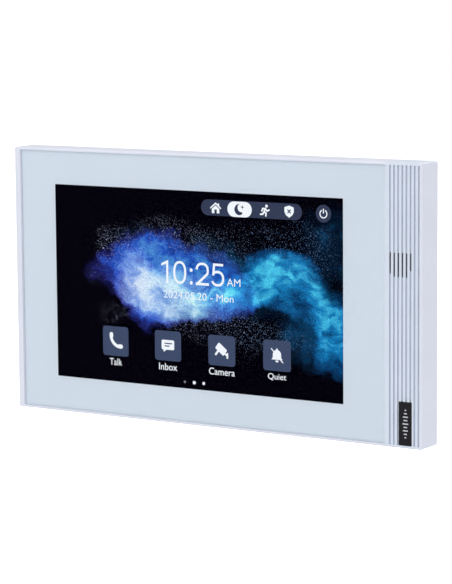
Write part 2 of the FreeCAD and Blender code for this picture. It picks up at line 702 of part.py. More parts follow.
def add_connector_housing(body):
    """Box that reaches into the wall, with an opening for each connector and a pin hole for the reset."""
    body = body.fuse(plate(0, 0, HOUSING_WIDTH, HOUSING_HEIGHT, Y_RECESS_INNER, HOUSING_REACH,
                           HOUSING_CORNER_R))
    cuts = [
        plate(0, 0, HOUSING_WIDTH - 2 * COVER_WALL, HOUSING_HEIGHT - 2 * COVER_WALL,
              FAR_FRONT, Y_HOUSING_INNER, COVER_WALL),
        plate(*JACK, *JACK_WINDOW_SIZE, FAR_FRONT, FAR_BACK, WINDOW_CORNER_R),
        plate(*IO_HEADER, *IO_WINDOW_SIZE, FAR_FRONT, FAR_BACK, WINDOW_CORNER_R),
        plate(*POWER, *POWER_WINDOW_SIZE, FAR_FRONT, FAR_BACK, WINDOW_CORNER_R),
        hole(*RESET, RESET_PIN_HOLE_R),
    ]
    for cut in cuts:
        body = body.cut(cut)
    return body


def rear_cover_screws():
    return group([pan_screw(x, z, Y_COVER_HEAD, *COVER_SCREW) for x, z in COVER_SCREWS])


def rating_label():
    """Blank adhesive label on the back."""
    return plate(*LABEL_CENTRE, *LABEL_SIZE, Y_CASE_BACK, Y_CASE_BACK + LABEL_THICK, LABEL_CORNER_R)


# ---------------------------------------------------------------------------------------------------------
# Glass, touch sensor and display module
# ---------------------------------------------------------------------------------------------------------

def cover_glass():
    body = plate(GLASS_X, 0, GLASS_WIDTH, GLASS_HEIGHT, Y_GLASS_FRONT, Y_GLASS_BACK, GLASS_CORNER_R)
    return body.makeChamfer(GLASS_CHAMFER, edges_at(body, Y_GLASS_FRONT))


def glass_tape():
    """Adhesive foam frame between the ink on the glass and the ledge of the front frame."""
    outer = (GLASS_WIDTH - 2 * TAPE_INSET, GLASS_HEIGHT - 2 * TAPE_INSET)
    inner = (LEDGE_OPEN_WIDTH + 2 * TAPE_FROM_OPENING, LEDGE_OPEN_HEIGHT + 2 * TAPE_FROM_OPENING)
    return frame(GLASS_X, 0, outer, inner, Y_GLASS_BACK + INK_THICK, Y_LEDGE_FRONT)


def touch_sensor():
    return plate(GLASS_X, 0, *TOUCH_SIZE, Y_TOUCH_FRONT, Y_TOUCH_BACK, TOUCH_CORNER_R)


def lcd_gasket():
    """Foam frame between the touch sensor and the display module."""
    inner = (SCREEN_SIZE[0] + 2, SCREEN_SIZE[1] + 2)
    return frame(GLASS_X, 0, GASKET_SIZE, inner, Y_TOUCH_BACK, Y_LCD_FRONT)


def lcd_bezel():
    """Folded steel frame round the front of the display module, notched for its flat cables."""
    body = block(GLASS_X, 0, *MODULE_SIZE, Y_LCD_FRONT, Y_FILMS_BACK + BEZEL_OVERLAP)
    body = body.cut(block(GLASS_X, 0, *BEZEL_INSIDE, Y_CELL_FRONT, FAR_BACK))
    body = body.cut(block(GLASS_X, 0, SCREEN_SIZE[0] + 1, SCREEN_SIZE[1] + 1, FAR_FRONT, FAR_BACK))
    low = -MODULE_SIZE[1] / 2
    for x0, x1 in FLEX_NOTCHES:
        body = body.cut(box(x0, x1, Y_CELL_FRONT + MODULE_GAP, FAR_BACK, low - 1, low + 1))
    return body


def lcd_cell():
    return block(GLASS_X, 0, *CELL_SIZE, Y_CELL_FRONT + LAYER_GAP, Y_CELL_BACK)


def optical_films():
    """Diffuser and prism sheets, one behind the other."""
    fronts = [Y_CELL_BACK + LAYER_GAP + FILM_PITCH * i for i in range(FILM_COUNT)]
    return group([block(GLASS_X, 0, *FILM_SIZE, y, y + FILM_THICK) for y in fronts])


def light_guide():
    return block(GLASS_X, GUIDE_Z, *GUIDE_SIZE, Y_FILMS_BACK, Y_GUIDE_BACK)


def reflector_sheet():
    return block(GLASS_X, 0, *FILM_SIZE, Y_GUIDE_BACK, Y_REFLECTOR_BACK)


def backlight_leds():
    """Row of light-emitting diodes along the lower edge of the light guide, on a narrow strip."""
    strip = block(GLASS_X, LED_STRIP_Z, *LED_STRIP_SIZE, Y_FILMS_BACK + LED_STRIP_INSET,
                  Y_GUIDE_BACK - LED_STRIP_INSET)
    xs = [GLASS_X + LED_PITCH * (i - (LED_COUNT - 1) / 2) for i in range(LED_COUNT)]
    leds = [block(x, LED_Z, LED_WIDTH, LED_HEIGHT, Y_FILMS_BACK + LED_INSET, Y_GUIDE_BACK - LED_INSET)
            for x in xs]
    return merged([strip] + leds)


def backlight_tray():
    """Tray that holds the light guide, the films and the reflector."""
    width, height = BEZEL_INSIDE[0] - 2 * FIT_GAP, BEZEL_INSIDE[1] - 2 * FIT_GAP
    body = block(GLASS_X, 0, width, height, Y_CELL_BACK + LAYER_GAP, Y_LCD_BACK)
    body = body.cut(block(GLASS_X, 0, width - 2 * TRAY_WALL, height - 2 * TRAY_WALL,
                          FAR_FRONT, Y_REFLECTOR_BACK))
    x0, x1 = FLEX_NOTCHES[1]
    low = -MODULE_SIZE[1] / 2
    return body.cut(box(x0, x1, FAR_FRONT, Y_REFLECTOR_BACK - MODULE_GAP, low - 1, low + TRAY_NOTCH_HEIGHT))


def flat_cable(y_start, x_range, z_start, z_drop):
    """Flat cable that leaves the display's lower edge and turns up behind it to a connector on the board."""
    y_end = Y_BOARD_BACK + 0.35
    path = [(y_start, z_start), (y_start, z_drop), (y_end, z_drop), (y_end, BOARD_Z[0] + 0.75)]
    return ribbon(path, FLEX_THICK, *x_range)


def touch_cable():
    return flat_cable(Y_TOUCH_FRONT + 0.3, *TOUCH_FLEX)


def display_cables():
    """Cable of the display cell, and the narrow one of its backlight."""
    return group([flat_cable(Y_CELL_FRONT + 0.5, *CELL_FLEX),
                  flat_cable(Y_FILMS_BACK + 0.45, *BACKLIGHT_FLEX)])


# ---------------------------------------------------------------------------------------------------------
# Chassis and main board
# ---------------------------------------------------------------------------------------------------------

def chassis_plate():
    """Steel plate behind the display, flanged along its long edges, with two windows beside the board."""
    body = box(*CHASSIS_X, Y_CHASSIS_FRONT, Y_CHASSIS_BACK, -CHASSIS_HALF_Z, CHASSIS_HALF_Z)
    for z in (-CHASSIS_HALF_Z, CHASSIS_HALF_Z - CHASSIS_THICK):
        body = body.fuse(box(*FLANGE_X, Y_CHASSIS_BACK, Y_CHASSIS_BACK + FLANGE_HEIGHT, z, z + CHASSIS_THICK))
    for x, z in CHASSIS_WINDOW_CENTRES:
        body = body.cut(plate(x, z, *CHASSIS_WINDOW_SIZE, FAR_FRONT, FAR_BACK, CHASSIS_WINDOW_R))
    for x, z in CHASSIS_SCREWS:
        body = body.cut(hole(x, z, CHASSIS_HOLE_R))
    for x, z in BOARD_SCREWS:
        body = body.cut(hole(x, z, STANDOFF_FOOT_HOLE_R))
    return body


def chassis_screws():
    return group([pan_screw(x, z, Y_CHASSIS_BACK, *CHASSIS_SCREW) for x, z in CHASSIS_SCREWS])


def board_standoffs():
    """Threaded inserts pressed into the chassis, one at each corner of the board and two between."""
    posts = []
    for x, z in BOARD_SCREWS:
        foot = rod(x, z, STANDOFF_FOOT_R, Y_CHASSIS_FRONT + FIT_GAP, Y_CHASSIS_BACK)
        post = merged([foot, rod(x, z, STANDOFF_BODY_R, Y_CHASSIS_BACK, Y_BOARD_FRONT)])
        posts.append(post.cut(hole(x, z, BOARD_SCREW[2] + THREAD_ROOM)))
    return group(posts)


def board_screws():
    return group([pan_screw(x, z, Y_BOARD_BACK, *BOARD_SCREW) for x, z in BOARD_SCREWS])


def main_board():
    x, z = sum(BOARD_X) / 2, sum(BOARD_Z) / 2
    body = plate(x, z, BOARD_X[1] - BOARD_X[0], BOARD_Z[1] - BOARD_Z[0],
                 Y_BOARD_FRONT, Y_BOARD_BACK, BOARD_CORNER_R)
    for x, z in BOARD_SCREWS:
        body = body.cut(hole(x, z, BOARD_HOLE_R))
    return body


def chip(x, z, width, height, thick):
    """Block standing on the back of the board."""
    return block(x, z, width, height, Y_BOARD_BACK, Y_BOARD_BACK + thick)


def processor():
    return chip(*PROCESSOR)


def support_chips():
    """Memories beside the processor, then power, network, audio and radio controllers."""
    return group([chip(*place) for place in SUPPORT_CHIPS])


def shield_can():
    """Pressed metal lid over the processor and its memory."""
    inside = SHIELD_SIZE - 2 * SHIELD_WALL
    y_lid = Y_BOARD_BACK + SHIELD_HEIGHT - SHIELD_WALL
    body = chip(*SHIELD_CENTRE, SHIELD_SIZE, SHIELD_SIZE, SHIELD_HEIGHT)
    return body.cut(block(*SHIELD_CENTRE, inside, inside, FAR_FRONT, y_lid))


def thermal_pad():
    return block(*THERMAL_PAD, Y_CHASSIS_BACK, Y_BOARD_FRONT)


def inductors():
    return group([chip(*place) for place in INDUCTORS])


def wifi_module():
    """Radio module: small board with a metal lid."""
    y_lid = Y_BOARD_BACK + WIFI_BASE[-1]
    return merged([chip(*WIFI_BASE), block(*WIFI_LID, y_lid, y_lid + WIFI_LID_HEIGHT)])


def board_connectors():
    """Sockets for the three flat cables, the speaker lead and the microphone lead."""
    extra, height, thick = CABLE_SOCKET_SIZE
    sockets = [chip(*place) for place in LEAD_SOCKETS]
    for cable in (TOUCH_FLEX, CELL_FLEX, BACKLIGHT_FLEX):
        x0, x1 = cable[0]
        sockets.append(chip((x0 + x1) / 2, CABLE_SOCKET_Z, x1 - x0 + extra, height, thick))
    return group(sockets)


def transformer():
    """Isolation transformer that takes power from the network cable."""
    x, z = TRANSFORMER
    core = chip(x, z, *CORE_SIZE, CORE_HEIGHT)
    y0, y1 = Y_BOARD_BACK + 2 * CORE_BASE, Y_BOARD_BACK + CORE_HEIGHT - CORE_BASE
    for side in (-1, 1):
        core = core.cut(block(x + side * CORE_WINDOW_X, z, CORE_WINDOW_WIDTH, 2 * CORE_SIZE[1], y0, y1))
    return core


def transformer_winding():
    """Taped copper winding in the core's two windows."""
    x, z = TRANSFORMER
    y0 = Y_BOARD_BACK + 2 * CORE_BASE + FIT_GAP
    y1 = Y_BOARD_BACK + CORE_HEIGHT - CORE_BASE - FIT_GAP
    return group([plate(x + s * CORE_WINDOW_X, z, *WINDING_SIZE, y0, y1, WINDING_R) for s in (-1, 1)])


def capacitors():
    cans = []
    top = Y_BOARD_BACK + CAPACITOR_HEIGHT
    for x, z in CAPACITORS:
        can = rod(x, z, CAPACITOR_R, Y_BOARD_BACK, top)
        cans.append(can.makeFillet(CAPACITOR_EDGE_R, edges_at(can, top)))
    return group(cans)


# ---------------------------------------------------------------------------------------------------------
# Sockets in the connector housing
# ---------------------------------------------------------------------------------------------------------

def jack_shell():
    """Metal sleeve round the network socket."""
    width, height = JACK_SHELL_SIZE
    inside = (width - 2 * JACK_SHELL_THICK, height - 2 * JACK_SHELL_THICK)
    return frame(*JACK, JACK_SHELL_SIZE, inside, Y_BOARD_BACK, JACK_TOP_Y)


def jack_insert():
    """Plastic body of the network socket, with the plug cavity and its latch notch."""
    x, z = JACK
    cavity_z = z + PLUG_CAVITY_RAISED
    notch_z = cavity_z - PLUG_CAVITY[1] / 2 - LATCH_NOTCH_DROP
    body = block(x, z, *JACK_BODY_SIZE, Y_BOARD_BACK, JACK_TOP_Y - MODULE_GAP)
    body = body.cut(block(x, cavity_z, *PLUG_CAVITY, PLUG_CAVITY_Y, FAR_BACK))
    return body.cut(block(x, notch_z, *LATCH_NOTCH, PLUG_CAVITY_Y + LATCH_NOTCH_FLOOR, FAR_BACK))


def jack_contacts():
    """Sprung contact wires inside the plug cavity, each bent back over itself."""
    x, z = JACK
    top = z + PLUG_CAVITY_RAISED + PLUG_CAVITY[1] / 2
    path = [(PLUG_CAVITY_Y + 0.05, top - 0.4), (JACK_TOP_Y - 3.0, top - 0.4), (JACK_TOP_Y - 2.6, top - 0.9),
            (PLUG_CAVITY_Y + 3.5, top - 2.4)]
    wires = []
    for i in range(CONTACT_COUNT):
        middle = x + CONTACT_PITCH * (i - (CONTACT_COUNT - 1) / 2)
        wires.append(ribbon(path, CONTACT_THICK, middle - CONTACT_WIDTH / 2, middle + CONTACT_WIDTH / 2))
    return group(wires)


def io_header():
    """Shrouded header for relay, alarm and data wires, with a key notch in its lower wall."""
    x, z = IO_HEADER
    floor = Y_BOARD_BACK + IO_FLOOR
    body = block(x, z, *IO_OUTER, Y_BOARD_BACK, Y_BOARD_BACK + IO_HEIGHT)
    body = body.cut(block(x, z, *IO_INNER, floor, FAR_BACK))
    body = body.cut(block(x, z - IO_OUTER[1] / 2 + 0.4, *IO_KEY, floor, FAR_BACK))
    for pin in io_pins(IO_PIN_HOLE):
        body = body.cut(pin)
    return body


def io_pins(width):
    """Square pins of the data header, or cutters for their holes."""
    x, z = IO_HEADER
    y0, y1 = Y_BOARD_BACK + IO_PIN_START, Y_BOARD_BACK + IO_HEIGHT - IO_PIN_BELOW_TOP
    columns = [x + IO_PITCH * (i - (IO_COLUMNS - 1) / 2) for i in range(IO_COLUMNS)]
    rows = [z + IO_PITCH * (i - (IO_ROWS - 1) / 2) for i in range(IO_ROWS)]
    return [block(px, pz, width, width, y0, y1) for px in columns for pz in rows]


def power_pins(width, y0, y1):
    """Square pins of the power socket, or cutters for their holes."""
    x, z = POWER
    return [block(x + side * POWER_PITCH / 2, z, width, width, y0, y1) for side in POWER_POLES]


def power_socket():
    """Board-mounted half of the two-pole power connector."""
    body = block(*POWER, *POWER_OUTER, Y_BOARD_BACK, Y_BOARD_BACK + POWER_SOCKET_DEPTH)
    body = body.cut(block(*POWER, *POWER_INNER, Y_BOARD_BACK + POWER_SOCKET_FLOOR, FAR_BACK))
    for pin in power_pins(POWER_PIN_HOLE, FAR_FRONT, FAR_BACK):
        body = body.cut(pin)
    return body


def header_pins():
    """Square pins of the data header and of the power socket."""
    power = power_pins(POWER_PIN_WIDTH, Y_BOARD_BACK, Y_BOARD_BACK + POWER_PIN_HEIGHT)
    return group(io_pins(IO_PIN_WIDTH) + power)


def power_plug():
    """Removable half of the power connector: pin sockets in its nose, wire entries in its back."""
    x, z = POWER
    head = block(x, z, *PLUG_HEAD_SIZE, PLUG_SHOULDER_Y, PLUG_END_Y)
    head = head.makeChamfer(PLUG_HEAD_CHAMFER, edges_at(head, PLUG_END_Y))
    body = merged([block(x, z, *PLUG_NOSE_SIZE, PLUG_NOSE_Y, PLUG_SHOULDER_Y), head])
    cuts = power_pins(PLUG_PIN_HOLE, FAR_FRONT, PLUG_SHOULDER_Y + PLUG_PIN_HOLE_EXTRA)
    for side in POWER_POLES:
        px = x + side * POWER_PITCH / 2
        cuts.append(block(px, z + WIRE_ENTRY_RAISED, WIRE_ENTRY, WIRE_ENTRY,
                          PLUG_END_Y - WIRE_ENTRY_DEPTH, FAR_BACK))
        cuts.append(upright(px, CLAMP_Y, CLAMP_HOLE_R, z - PLUG_HEAD_SIZE[1], z - CLAMP_HOLE_TOP))
    for cut in cuts:
        body = body.cut(cut)
    return body


def clamp_screw(side):
    """Slotted screw that holds one wire in the power plug."""
    x, low = POWER[0] + side * POWER_PITCH / 2, POWER[1] - CLAMP_SCREW_LOW
    body = upright(x, CLAMP_Y, CLAMP_SCREW_R, low, low + CLAMP_SCREW_LENGTH)
    half = CLAMP_SLOT_WIDTH / 2
    return body.cut(box(x - CLAMP_HOLE_R, x + CLAMP_HOLE_R, CLAMP_Y - half, CLAMP_Y + half,
                        low - 1, low + CLAMP_SLOT_DEPTH))


def clamp_screw_left():
    return clamp_screw(POWER_POLES[0])


def clamp_screw_right():
    return clamp_screw(POWER_POLES[1])


def reset_switch():
    """Body of the reset switch, with the well its plunger moves in."""
    body = plate(*RESET, RESET_SWITCH_SIZE, RESET_SWITCH_SIZE, Y_BOARD_BACK,
                 Y_BOARD_BACK + RESET_SWITCH_HEIGHT, RESET_SWITCH_R)
    return body.cut(rod(*RESET, RESET_WELL_R, Y_BOARD_BACK + RESET_WELL_FLOOR, FAR_BACK))


def reset_button():
    """Tall plunger of the reset switch, reached through a pin hole in the connector housing."""
    y0 = Y_BOARD_BACK + RESET_WELL_FLOOR + RESET_TRAVEL + RESET_REST_GAP
    return rod(*RESET, RESET_BUTTON_R, y0, Y_HOUSING_INNER - RESET_BELOW_HOUSING)


# ---------------------------------------------------------------------------------------------------------
# Speaker, microphone and antenna
# ---------------------------------------------------------------------------------------------------------

def speaker_cloth():
    """Black acoustic cloth stuck behind the slots."""
    return block(SPEAKER_X + CLOTH_OFFSET, SPEAKER_Z, *CLOTH_SIZE, Y_CAVITY, Y_CAVITY + CLOTH_THICK)


def speaker_gasket():
    return frame(SPEAKER_X, SPEAKER_Z, SPEAKER_GASKET_OUTER, SPEAKER_GASKET_INNER,
                 Y_CAVITY, Y_SPEAKER, *SPEAKER_GASKET_RADII)


def speaker_box():
    """Sealed enclosure behind the driver, with a screw ear at each end."""
    y0, y1 = Y_SPEAKER, Y_SPEAKER + SPEAKER_DEPTH
    body = plate(SPEAKER_X, SPEAKER_Z, SPEAKER_WIDTH, SPEAKER_HEIGHT, y0, y1, SPEAKER_CORNER_R)
    body = body.cut(block(SPEAKER_X, SPEAKER_Z, SPEAKER_WIDTH - 2 * SPEAKER_WALL,
                          SPEAKER_HEIGHT - 2 * SPEAKER_WALL, y0 + SPEAKER_WALL, y1 - SPEAKER_WALL))
    body = body.cut(plate(SPEAKER_X, SPEAKER_Z, *DRIVER_OPENING, FAR_FRONT, y0 + 1.5 * SPEAKER_WALL,
                          DRIVER_OPENING_R))
    ear_height = SPEAKER_EAR + EAR_OVERLAP
    for side, (x, z) in zip((-1, 1), SPEAKER_SCREWS):
        ear_z = z - side * EAR_OVERLAP / 2
        body = body.fuse(block(x, ear_z, 2 * EAR_HALF_WIDTH, ear_height, Y_EAR, Y_EAR + EAR_THICK))
        body = body.cut(hole(x, z, EAR_HOLE_R))
    return body.removeSplitter()


def speaker_screws():
    return group([pan_screw(x, z, Y_EAR + EAR_THICK, *SPEAKER_SCREW) for x, z in SPEAKER_SCREWS])


def speaker_basket():
    """Plastic frame of the driver."""
    y0 = Y_SPEAKER + BASKET_FRONT
    y1 = y0 + BASKET_RIM_HEIGHT
    rim = frame(SPEAKER_X, SPEAKER_Z, BASKET_OUTER, BASKET_RIM_INNER, y0, y1, BASKET_OUTER_R, 2.4)
    seat = frame(SPEAKER_X, SPEAKER_Z, BASKET_OUTER, BASKET_SEAT_INNER, y1, y1 + BASKET_SEAT_HEIGHT,
                 BASKET_OUTER_R, 1.5)
    return merged([rim, seat])


def speaker_surround():
    """Flexible edge between the basket and the diaphragm."""
    y0 = Y_SPEAKER + CONE_FRONT
    return frame(SPEAKER_X, SPEAKER_Z, SURROUND_OUTER, SURROUND_INNER, y0, y0 + CONE_THICK, 2.3, 2.0)


def speaker_diaphragm():
    y0 = Y_SPEAKER + CONE_FRONT
    return plate(SPEAKER_X, SPEAKER_Z, *CONE_SIZE, y0, y0 + CONE_THICK, CONE_CORNER_R)


def speaker_coil():
    y0 = Y_SPEAKER + CONE_FRONT + CONE_THICK
    return frame(SPEAKER_X, SPEAKER_Z, COIL_OUTER, COIL_INNER, y0, y0 + COIL_HEIGHT, 1.2, 0.8)


def speaker_magnet():
    y0 = Y_SPEAKER + MAGNET_FRONT
    return plate(SPEAKER_X, SPEAKER_Z, *MAGNET_SIZE, y0, y0 + MAGNET_HEIGHT, 0.5)


def speaker_yoke():
    """Steel cup round the magnet."""
    y0 = Y_SPEAKER + YOKE_FRONT
    y1 = y0 + YOKE_HEIGHT
    body = plate(SPEAKER_X, SPEAKER_Z, *YOKE_OUTER, y0, y1, YOKE_CORNER_R)
    return body.cut(plate(SPEAKER_X, SPEAKER_Z, *YOKE_INNER, FAR_FRONT, y1 - YOKE_FLOOR, YOKE_CORNER_R))


def speaker_lead():
    """Two wires from the speaker to the board."""
    y = Y_SPEAKER + 5.2
    x_end = SPEAKER_X - SPEAKER_WIDTH / 2 - 0.4
    wires = []
    for z in SPEAKER_WIRE_ZS:
        points = [(x_end, y, z), (x_end - 5, y + 0.5, z + 4), (72.0, -5.6, z + 6), (62.0, -5.4, z + 0.4),
                  (LEAD_END_X, -5.4, z + 0.4)]
        wires.append(wire_along(points, SPEAKER_WIRE_R))
    return wires


def microphone():
    low = -INNER_Z + MIC_RAISED
    return upright(MIC_X, MIC_Y, MIC_R, low, low + MIC_HEIGHT)


def microphone_boot():
    """Rubber cup that seals the microphone to its hole in the bottom wall."""
    top = -INNER_Z + MIC_BOOT_HEIGHT
    body = upright(MIC_X, MIC_Y, MIC_BOOT_R, -INNER_Z, top)
    body = body.cut(upright(MIC_X, MIC_Y, MIC_R + LAYER_GAP, -INNER_Z + MIC_RAISED - LAYER_GAP, top + 1))
    return body.cut(upright(MIC_X, MIC_Y, MIC_BOOT_HOLE_R, -CASE_HEIGHT, top))


def microphone_lead():
    """Thin screened wire from the microphone to the board."""
    z_top = -INNER_Z + MIC_RAISED + MIC_HEIGHT + MODULE_GAP
    points = [(MIC_X, MIC_Y, z_top), (MIC_X - 0.5, MIC_Y + 0.6, z_top + 6), (84.0, -6.0, -38.0),
              (68.0, -5.4, -18.0), (LEAD_END_X, -5.4, -14.0)]
    return wire_along(points, MIC_LEAD_R)


def audio_leads():
    return group(speaker_lead() + [microphone_lead()])


def wifi_antenna():
    """Thin antenna stuck inside the top wall."""
    top = INNER_Z - FIT_GAP
    return box(*ANTENNA_X, *ANTENNA_Y, top - ANTENNA_THICK, top)


def antenna_cable():
    """Thin coaxial cable from the antenna to the radio module."""
    points = [(-60.0, -6.9, INNER_Z - 0.95), (-54.0, -6.0, 52.5), (-44.0, -5.2, 49.0), (-34.0, -5.0, 45.0),
              (-29.6, -5.2, 42.0), (-29.0, -5.3, 39.75)]
    return wire_along(points, ANTENNA_CABLE_R)


# ---------------------------------------------------------------------------------------------------------
# Every piece, by the name of its node
# ---------------------------------------------------------------------------------------------------------

PIECES = [
    # wall side
    wall_bracket, rear_cover, rear_cover_screws, rating_label,
    # front
    front_frame, badge_plate, cover_glass, glass_tape,
    # screen
    touch_sensor, touch_cable, lcd_gasket, lcd_bezel, lcd_cell, display_cables, optical_films, light_guide,
    reflector_sheet, backlight_leds, backlight_tray,
    # chassis and board
    chassis_plate, chassis_screws, board_standoffs, main_board, board_screws, processor, support_chips,
    shield_can, thermal_pad, inductors, wifi_module, wifi_antenna, antenna_cable, board_connectors,
    transformer, transformer_winding, capacitors,
    # sockets
    jack_shell, jack_insert, jack_contacts, io_header, header_pins, power_socket, power_plug,
    clamp_screw_left, clamp_screw_right, reset_switch, reset_button,
    # sound
    speaker_box, speaker_screws, speaker_gasket, speaker_cloth, speaker_basket, speaker_surround,
    speaker_diaphragm, speaker_coil, speaker_magnet, speaker_yoke, microphone, microphone_boot, audio_leads,
]

os.makedirs("parts", exist_ok=True)
for piece in PIECES:
    piece().exportStep("parts/" + piece.__name__ + ".step")
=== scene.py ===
import bmesh
import bpy
import json
import math
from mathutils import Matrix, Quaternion, Vector
from mathutils.geometry import tessellate_polygon


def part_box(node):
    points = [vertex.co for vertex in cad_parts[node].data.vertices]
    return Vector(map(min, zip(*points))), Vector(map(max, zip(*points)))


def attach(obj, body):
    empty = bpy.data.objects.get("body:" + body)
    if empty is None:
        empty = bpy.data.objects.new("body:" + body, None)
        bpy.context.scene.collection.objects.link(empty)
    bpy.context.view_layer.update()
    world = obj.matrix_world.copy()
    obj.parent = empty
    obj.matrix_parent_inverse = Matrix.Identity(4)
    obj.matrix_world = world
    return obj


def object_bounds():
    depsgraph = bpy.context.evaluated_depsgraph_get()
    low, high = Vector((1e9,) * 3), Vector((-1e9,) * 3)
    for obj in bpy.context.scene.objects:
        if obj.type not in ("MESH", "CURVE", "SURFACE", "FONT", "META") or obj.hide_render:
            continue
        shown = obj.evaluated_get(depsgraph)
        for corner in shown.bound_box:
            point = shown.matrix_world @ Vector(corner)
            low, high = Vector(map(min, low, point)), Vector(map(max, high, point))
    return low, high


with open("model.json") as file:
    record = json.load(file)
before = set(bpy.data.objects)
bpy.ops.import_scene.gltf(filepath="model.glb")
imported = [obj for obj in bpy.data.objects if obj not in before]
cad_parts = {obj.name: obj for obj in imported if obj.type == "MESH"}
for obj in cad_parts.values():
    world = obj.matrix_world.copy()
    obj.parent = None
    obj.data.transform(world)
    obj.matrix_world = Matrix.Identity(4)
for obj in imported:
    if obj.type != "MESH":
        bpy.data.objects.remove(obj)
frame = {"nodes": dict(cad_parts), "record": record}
cad_low, cad_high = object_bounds()

# Looks of a wall-mounted video intercom monitor. Lengths are in metres, and MM turns millimetres into them.
# The screen's own drawings are laid out in millimetres from the screen's centre, X to the right and Z up.
# Every piece made here is ink or light of the monitor, so every piece rides on the monitor's body.

MM = 0.001

# ---------------------------------------------------------------------------------------------------------
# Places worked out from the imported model
# ---------------------------------------------------------------------------------------------------------

GLASS_LOW, GLASS_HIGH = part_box("cover_glass")
GLASS_MIDDLE_X = (GLASS_LOW.x + GLASS_HIGH.x) / 2
TOUCH_LOW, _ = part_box("touch_sensor")
BADGE_LOW, BADGE_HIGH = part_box("badge_plate")
CASE_LOW, CASE_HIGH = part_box("front_frame")

SCREEN_WIDE, SCREEN_HIGH = 154.9, 90.35  # millimetres
SCREEN_CENTRE = Vector((GLASS_MIDDLE_X - 1.1 * MM, 0.0, -0.15 * MM))

# ribbed strip right of the glass: eight grooves, six of which go on through the casing as sound slots
GROOVE_PITCH = 2.0 * MM
FIRST_GROOVE_X = CASE_HIGH.x - 15.5 * MM
LAST_GROOVE_X = FIRST_GROOVE_X + 7 * GROOVE_PITCH
GROOVE_FLOOR_Y = CASE_LOW.y + 0.8 * MM
SLOT_REACH = 0.47 * MM  # from a slot's middle to just inside its walls
SLOT_LOW_Z, SLOT_HIGH_Z = 12.35 * MM, 23.05 * MM
SLOTS_LEFT_X, SLOTS_RIGHT_X = FIRST_GROOVE_X - 0.5 * MM, FIRST_GROOVE_X + 5.5 * GROOVE_PITCH

# layers between the glass and the touch sensor, as shares of the bond between them
BOND = TOUCH_LOW.y - GLASS_HIGH.y
LAYERS = {"print": (0.03, 0.22), "icons": (0.10, 0.20), "chosen": (0.27, 0.32), "tiles": (0.36, 0.46),
          "picture": (0.60, 0.90)}


def layer(name):
    """Front and back Y of a layer in the bond behind the glass."""
    return tuple(GLASS_HIGH.y + BOND * share for share in LAYERS[name])


# ---------------------------------------------------------------------------------------------------------
# Node materials
# ---------------------------------------------------------------------------------------------------------

class Shader:
    """Builds one node material. Values given to its calls are numbers, colours, sockets or nodes."""

    def __init__(self, name):
        self.mat = bpy.data.materials.new(name)
        self.mat.use_nodes = True
        self.tree = self.mat.node_tree
        self.tree.nodes.clear()
        self.point = self.node("TexCoord").outputs["Object"]

    def feed(self, socket, value):
        if isinstance(value, bpy.types.Node):
            value = value.outputs[0]
        if isinstance(value, bpy.types.NodeSocket):
            self.tree.links.new(value, socket)
            return
        if socket.type == "RGBA" and len(value) == 3:
            value = (*value, 1.0)
        socket.default_value = value

    def node(self, kind, props=None, **inputs):
        """A node of this kind; underscores in input names stand for spaces."""
        made = self.tree.nodes.new("ShaderNode" + kind)
        for key, value in (props or {}).items():
            setattr(made, key, value)
        for key, value in inputs.items():
            self.feed(made.inputs[key.replace("_", " ")], value)
        return made

    def math(self, operation, a, b=0.0, c=0.0):
        made = self.node("Math", {"operation": operation})
        for socket, value in zip(made.inputs, (a, b, c)):
            self.feed(socket, value)
        return made.outputs[0]

    def vector(self, operation, a, b):
        made = self.node("VectorMath", {"operation": operation})
        self.feed(made.inputs[0], a)
        self.feed(made.inputs[1], b)
        return made.outputs[0]

    def axes(self, point=None):
        """X, Y and Z of a point, the surface's own by default."""
        return self.node("SeparateXYZ", Vector=self.point if point is None else point).outputs

    def mix(self, factor, a, b, blend="MIX"):
        """Blend of two colours; sockets 0, 6 and 7 are the colour mode's factor, A and B."""
        made = self.node("Mix", {"data_type": "RGBA", "blend_type": blend})
        for index, value in ((0, factor), (6, a), (7, b)):
            self.feed(made.inputs[index], value)
        return made.outputs[2]

    def ramp(self, factor, *stops):
        """Colour ramp with (position, colour) stops; a number as colour means grey."""
        made = self.node("ValToRGB", Fac=factor)
        elements = made.color_ramp.elements
        while len(elements) < len(stops):
            elements.new(1.0)
        for element, (position, colour) in zip(elements, stops):
            element.position = position
            grey = isinstance(colour, (int, float))
            element.color = (colour, colour, colour, 1.0) if grey else (*colour, 1.0)
        return made.outputs[0]

    def noise(self, size, detail=2.0, rough=0.5, point=None, warp=0.0):
        """Fractal noise whose largest lumps are about size, in the point's own unit."""
        made = self.node("TexNoise", Vector=self.point if point is None else point, Scale=1.0 / size,
                         Detail=detail, Roughness=rough, Distortion=warp)
        return made.outputs["Fac"]

    def cells(self, size, output="Distance"):
        """Voronoi pattern with cells of about size metres."""
        return self.node("TexVoronoi", Vector=self.point, Scale=1.0 / size).outputs[output]

    def bump(self, height, distance, strength):
        return self.node("Bump", Height=height, Distance=distance, Strength=strength).outputs[0]

    def surface(self, **inputs):
        """Finishes the material with a Principled surface."""
        self.output(self.node("BsdfPrincipled", **inputs))
        return self.mat

    def output(self, shader):
        self.node("OutputMaterial", Surface=shader)
        return self.mat


def srgb(r, g, b):
    """Linear colour from 0 to 255 display values."""
    values = [v / 255 for v in (r, g, b)]
    return tuple(v / 12.92 if v <= 0.04045 else ((v + 0.055) / 1.055) ** 2.4 for v in values)


def shade(colour, factor):
    return tuple(min(1.0, c * factor) for c in colour)


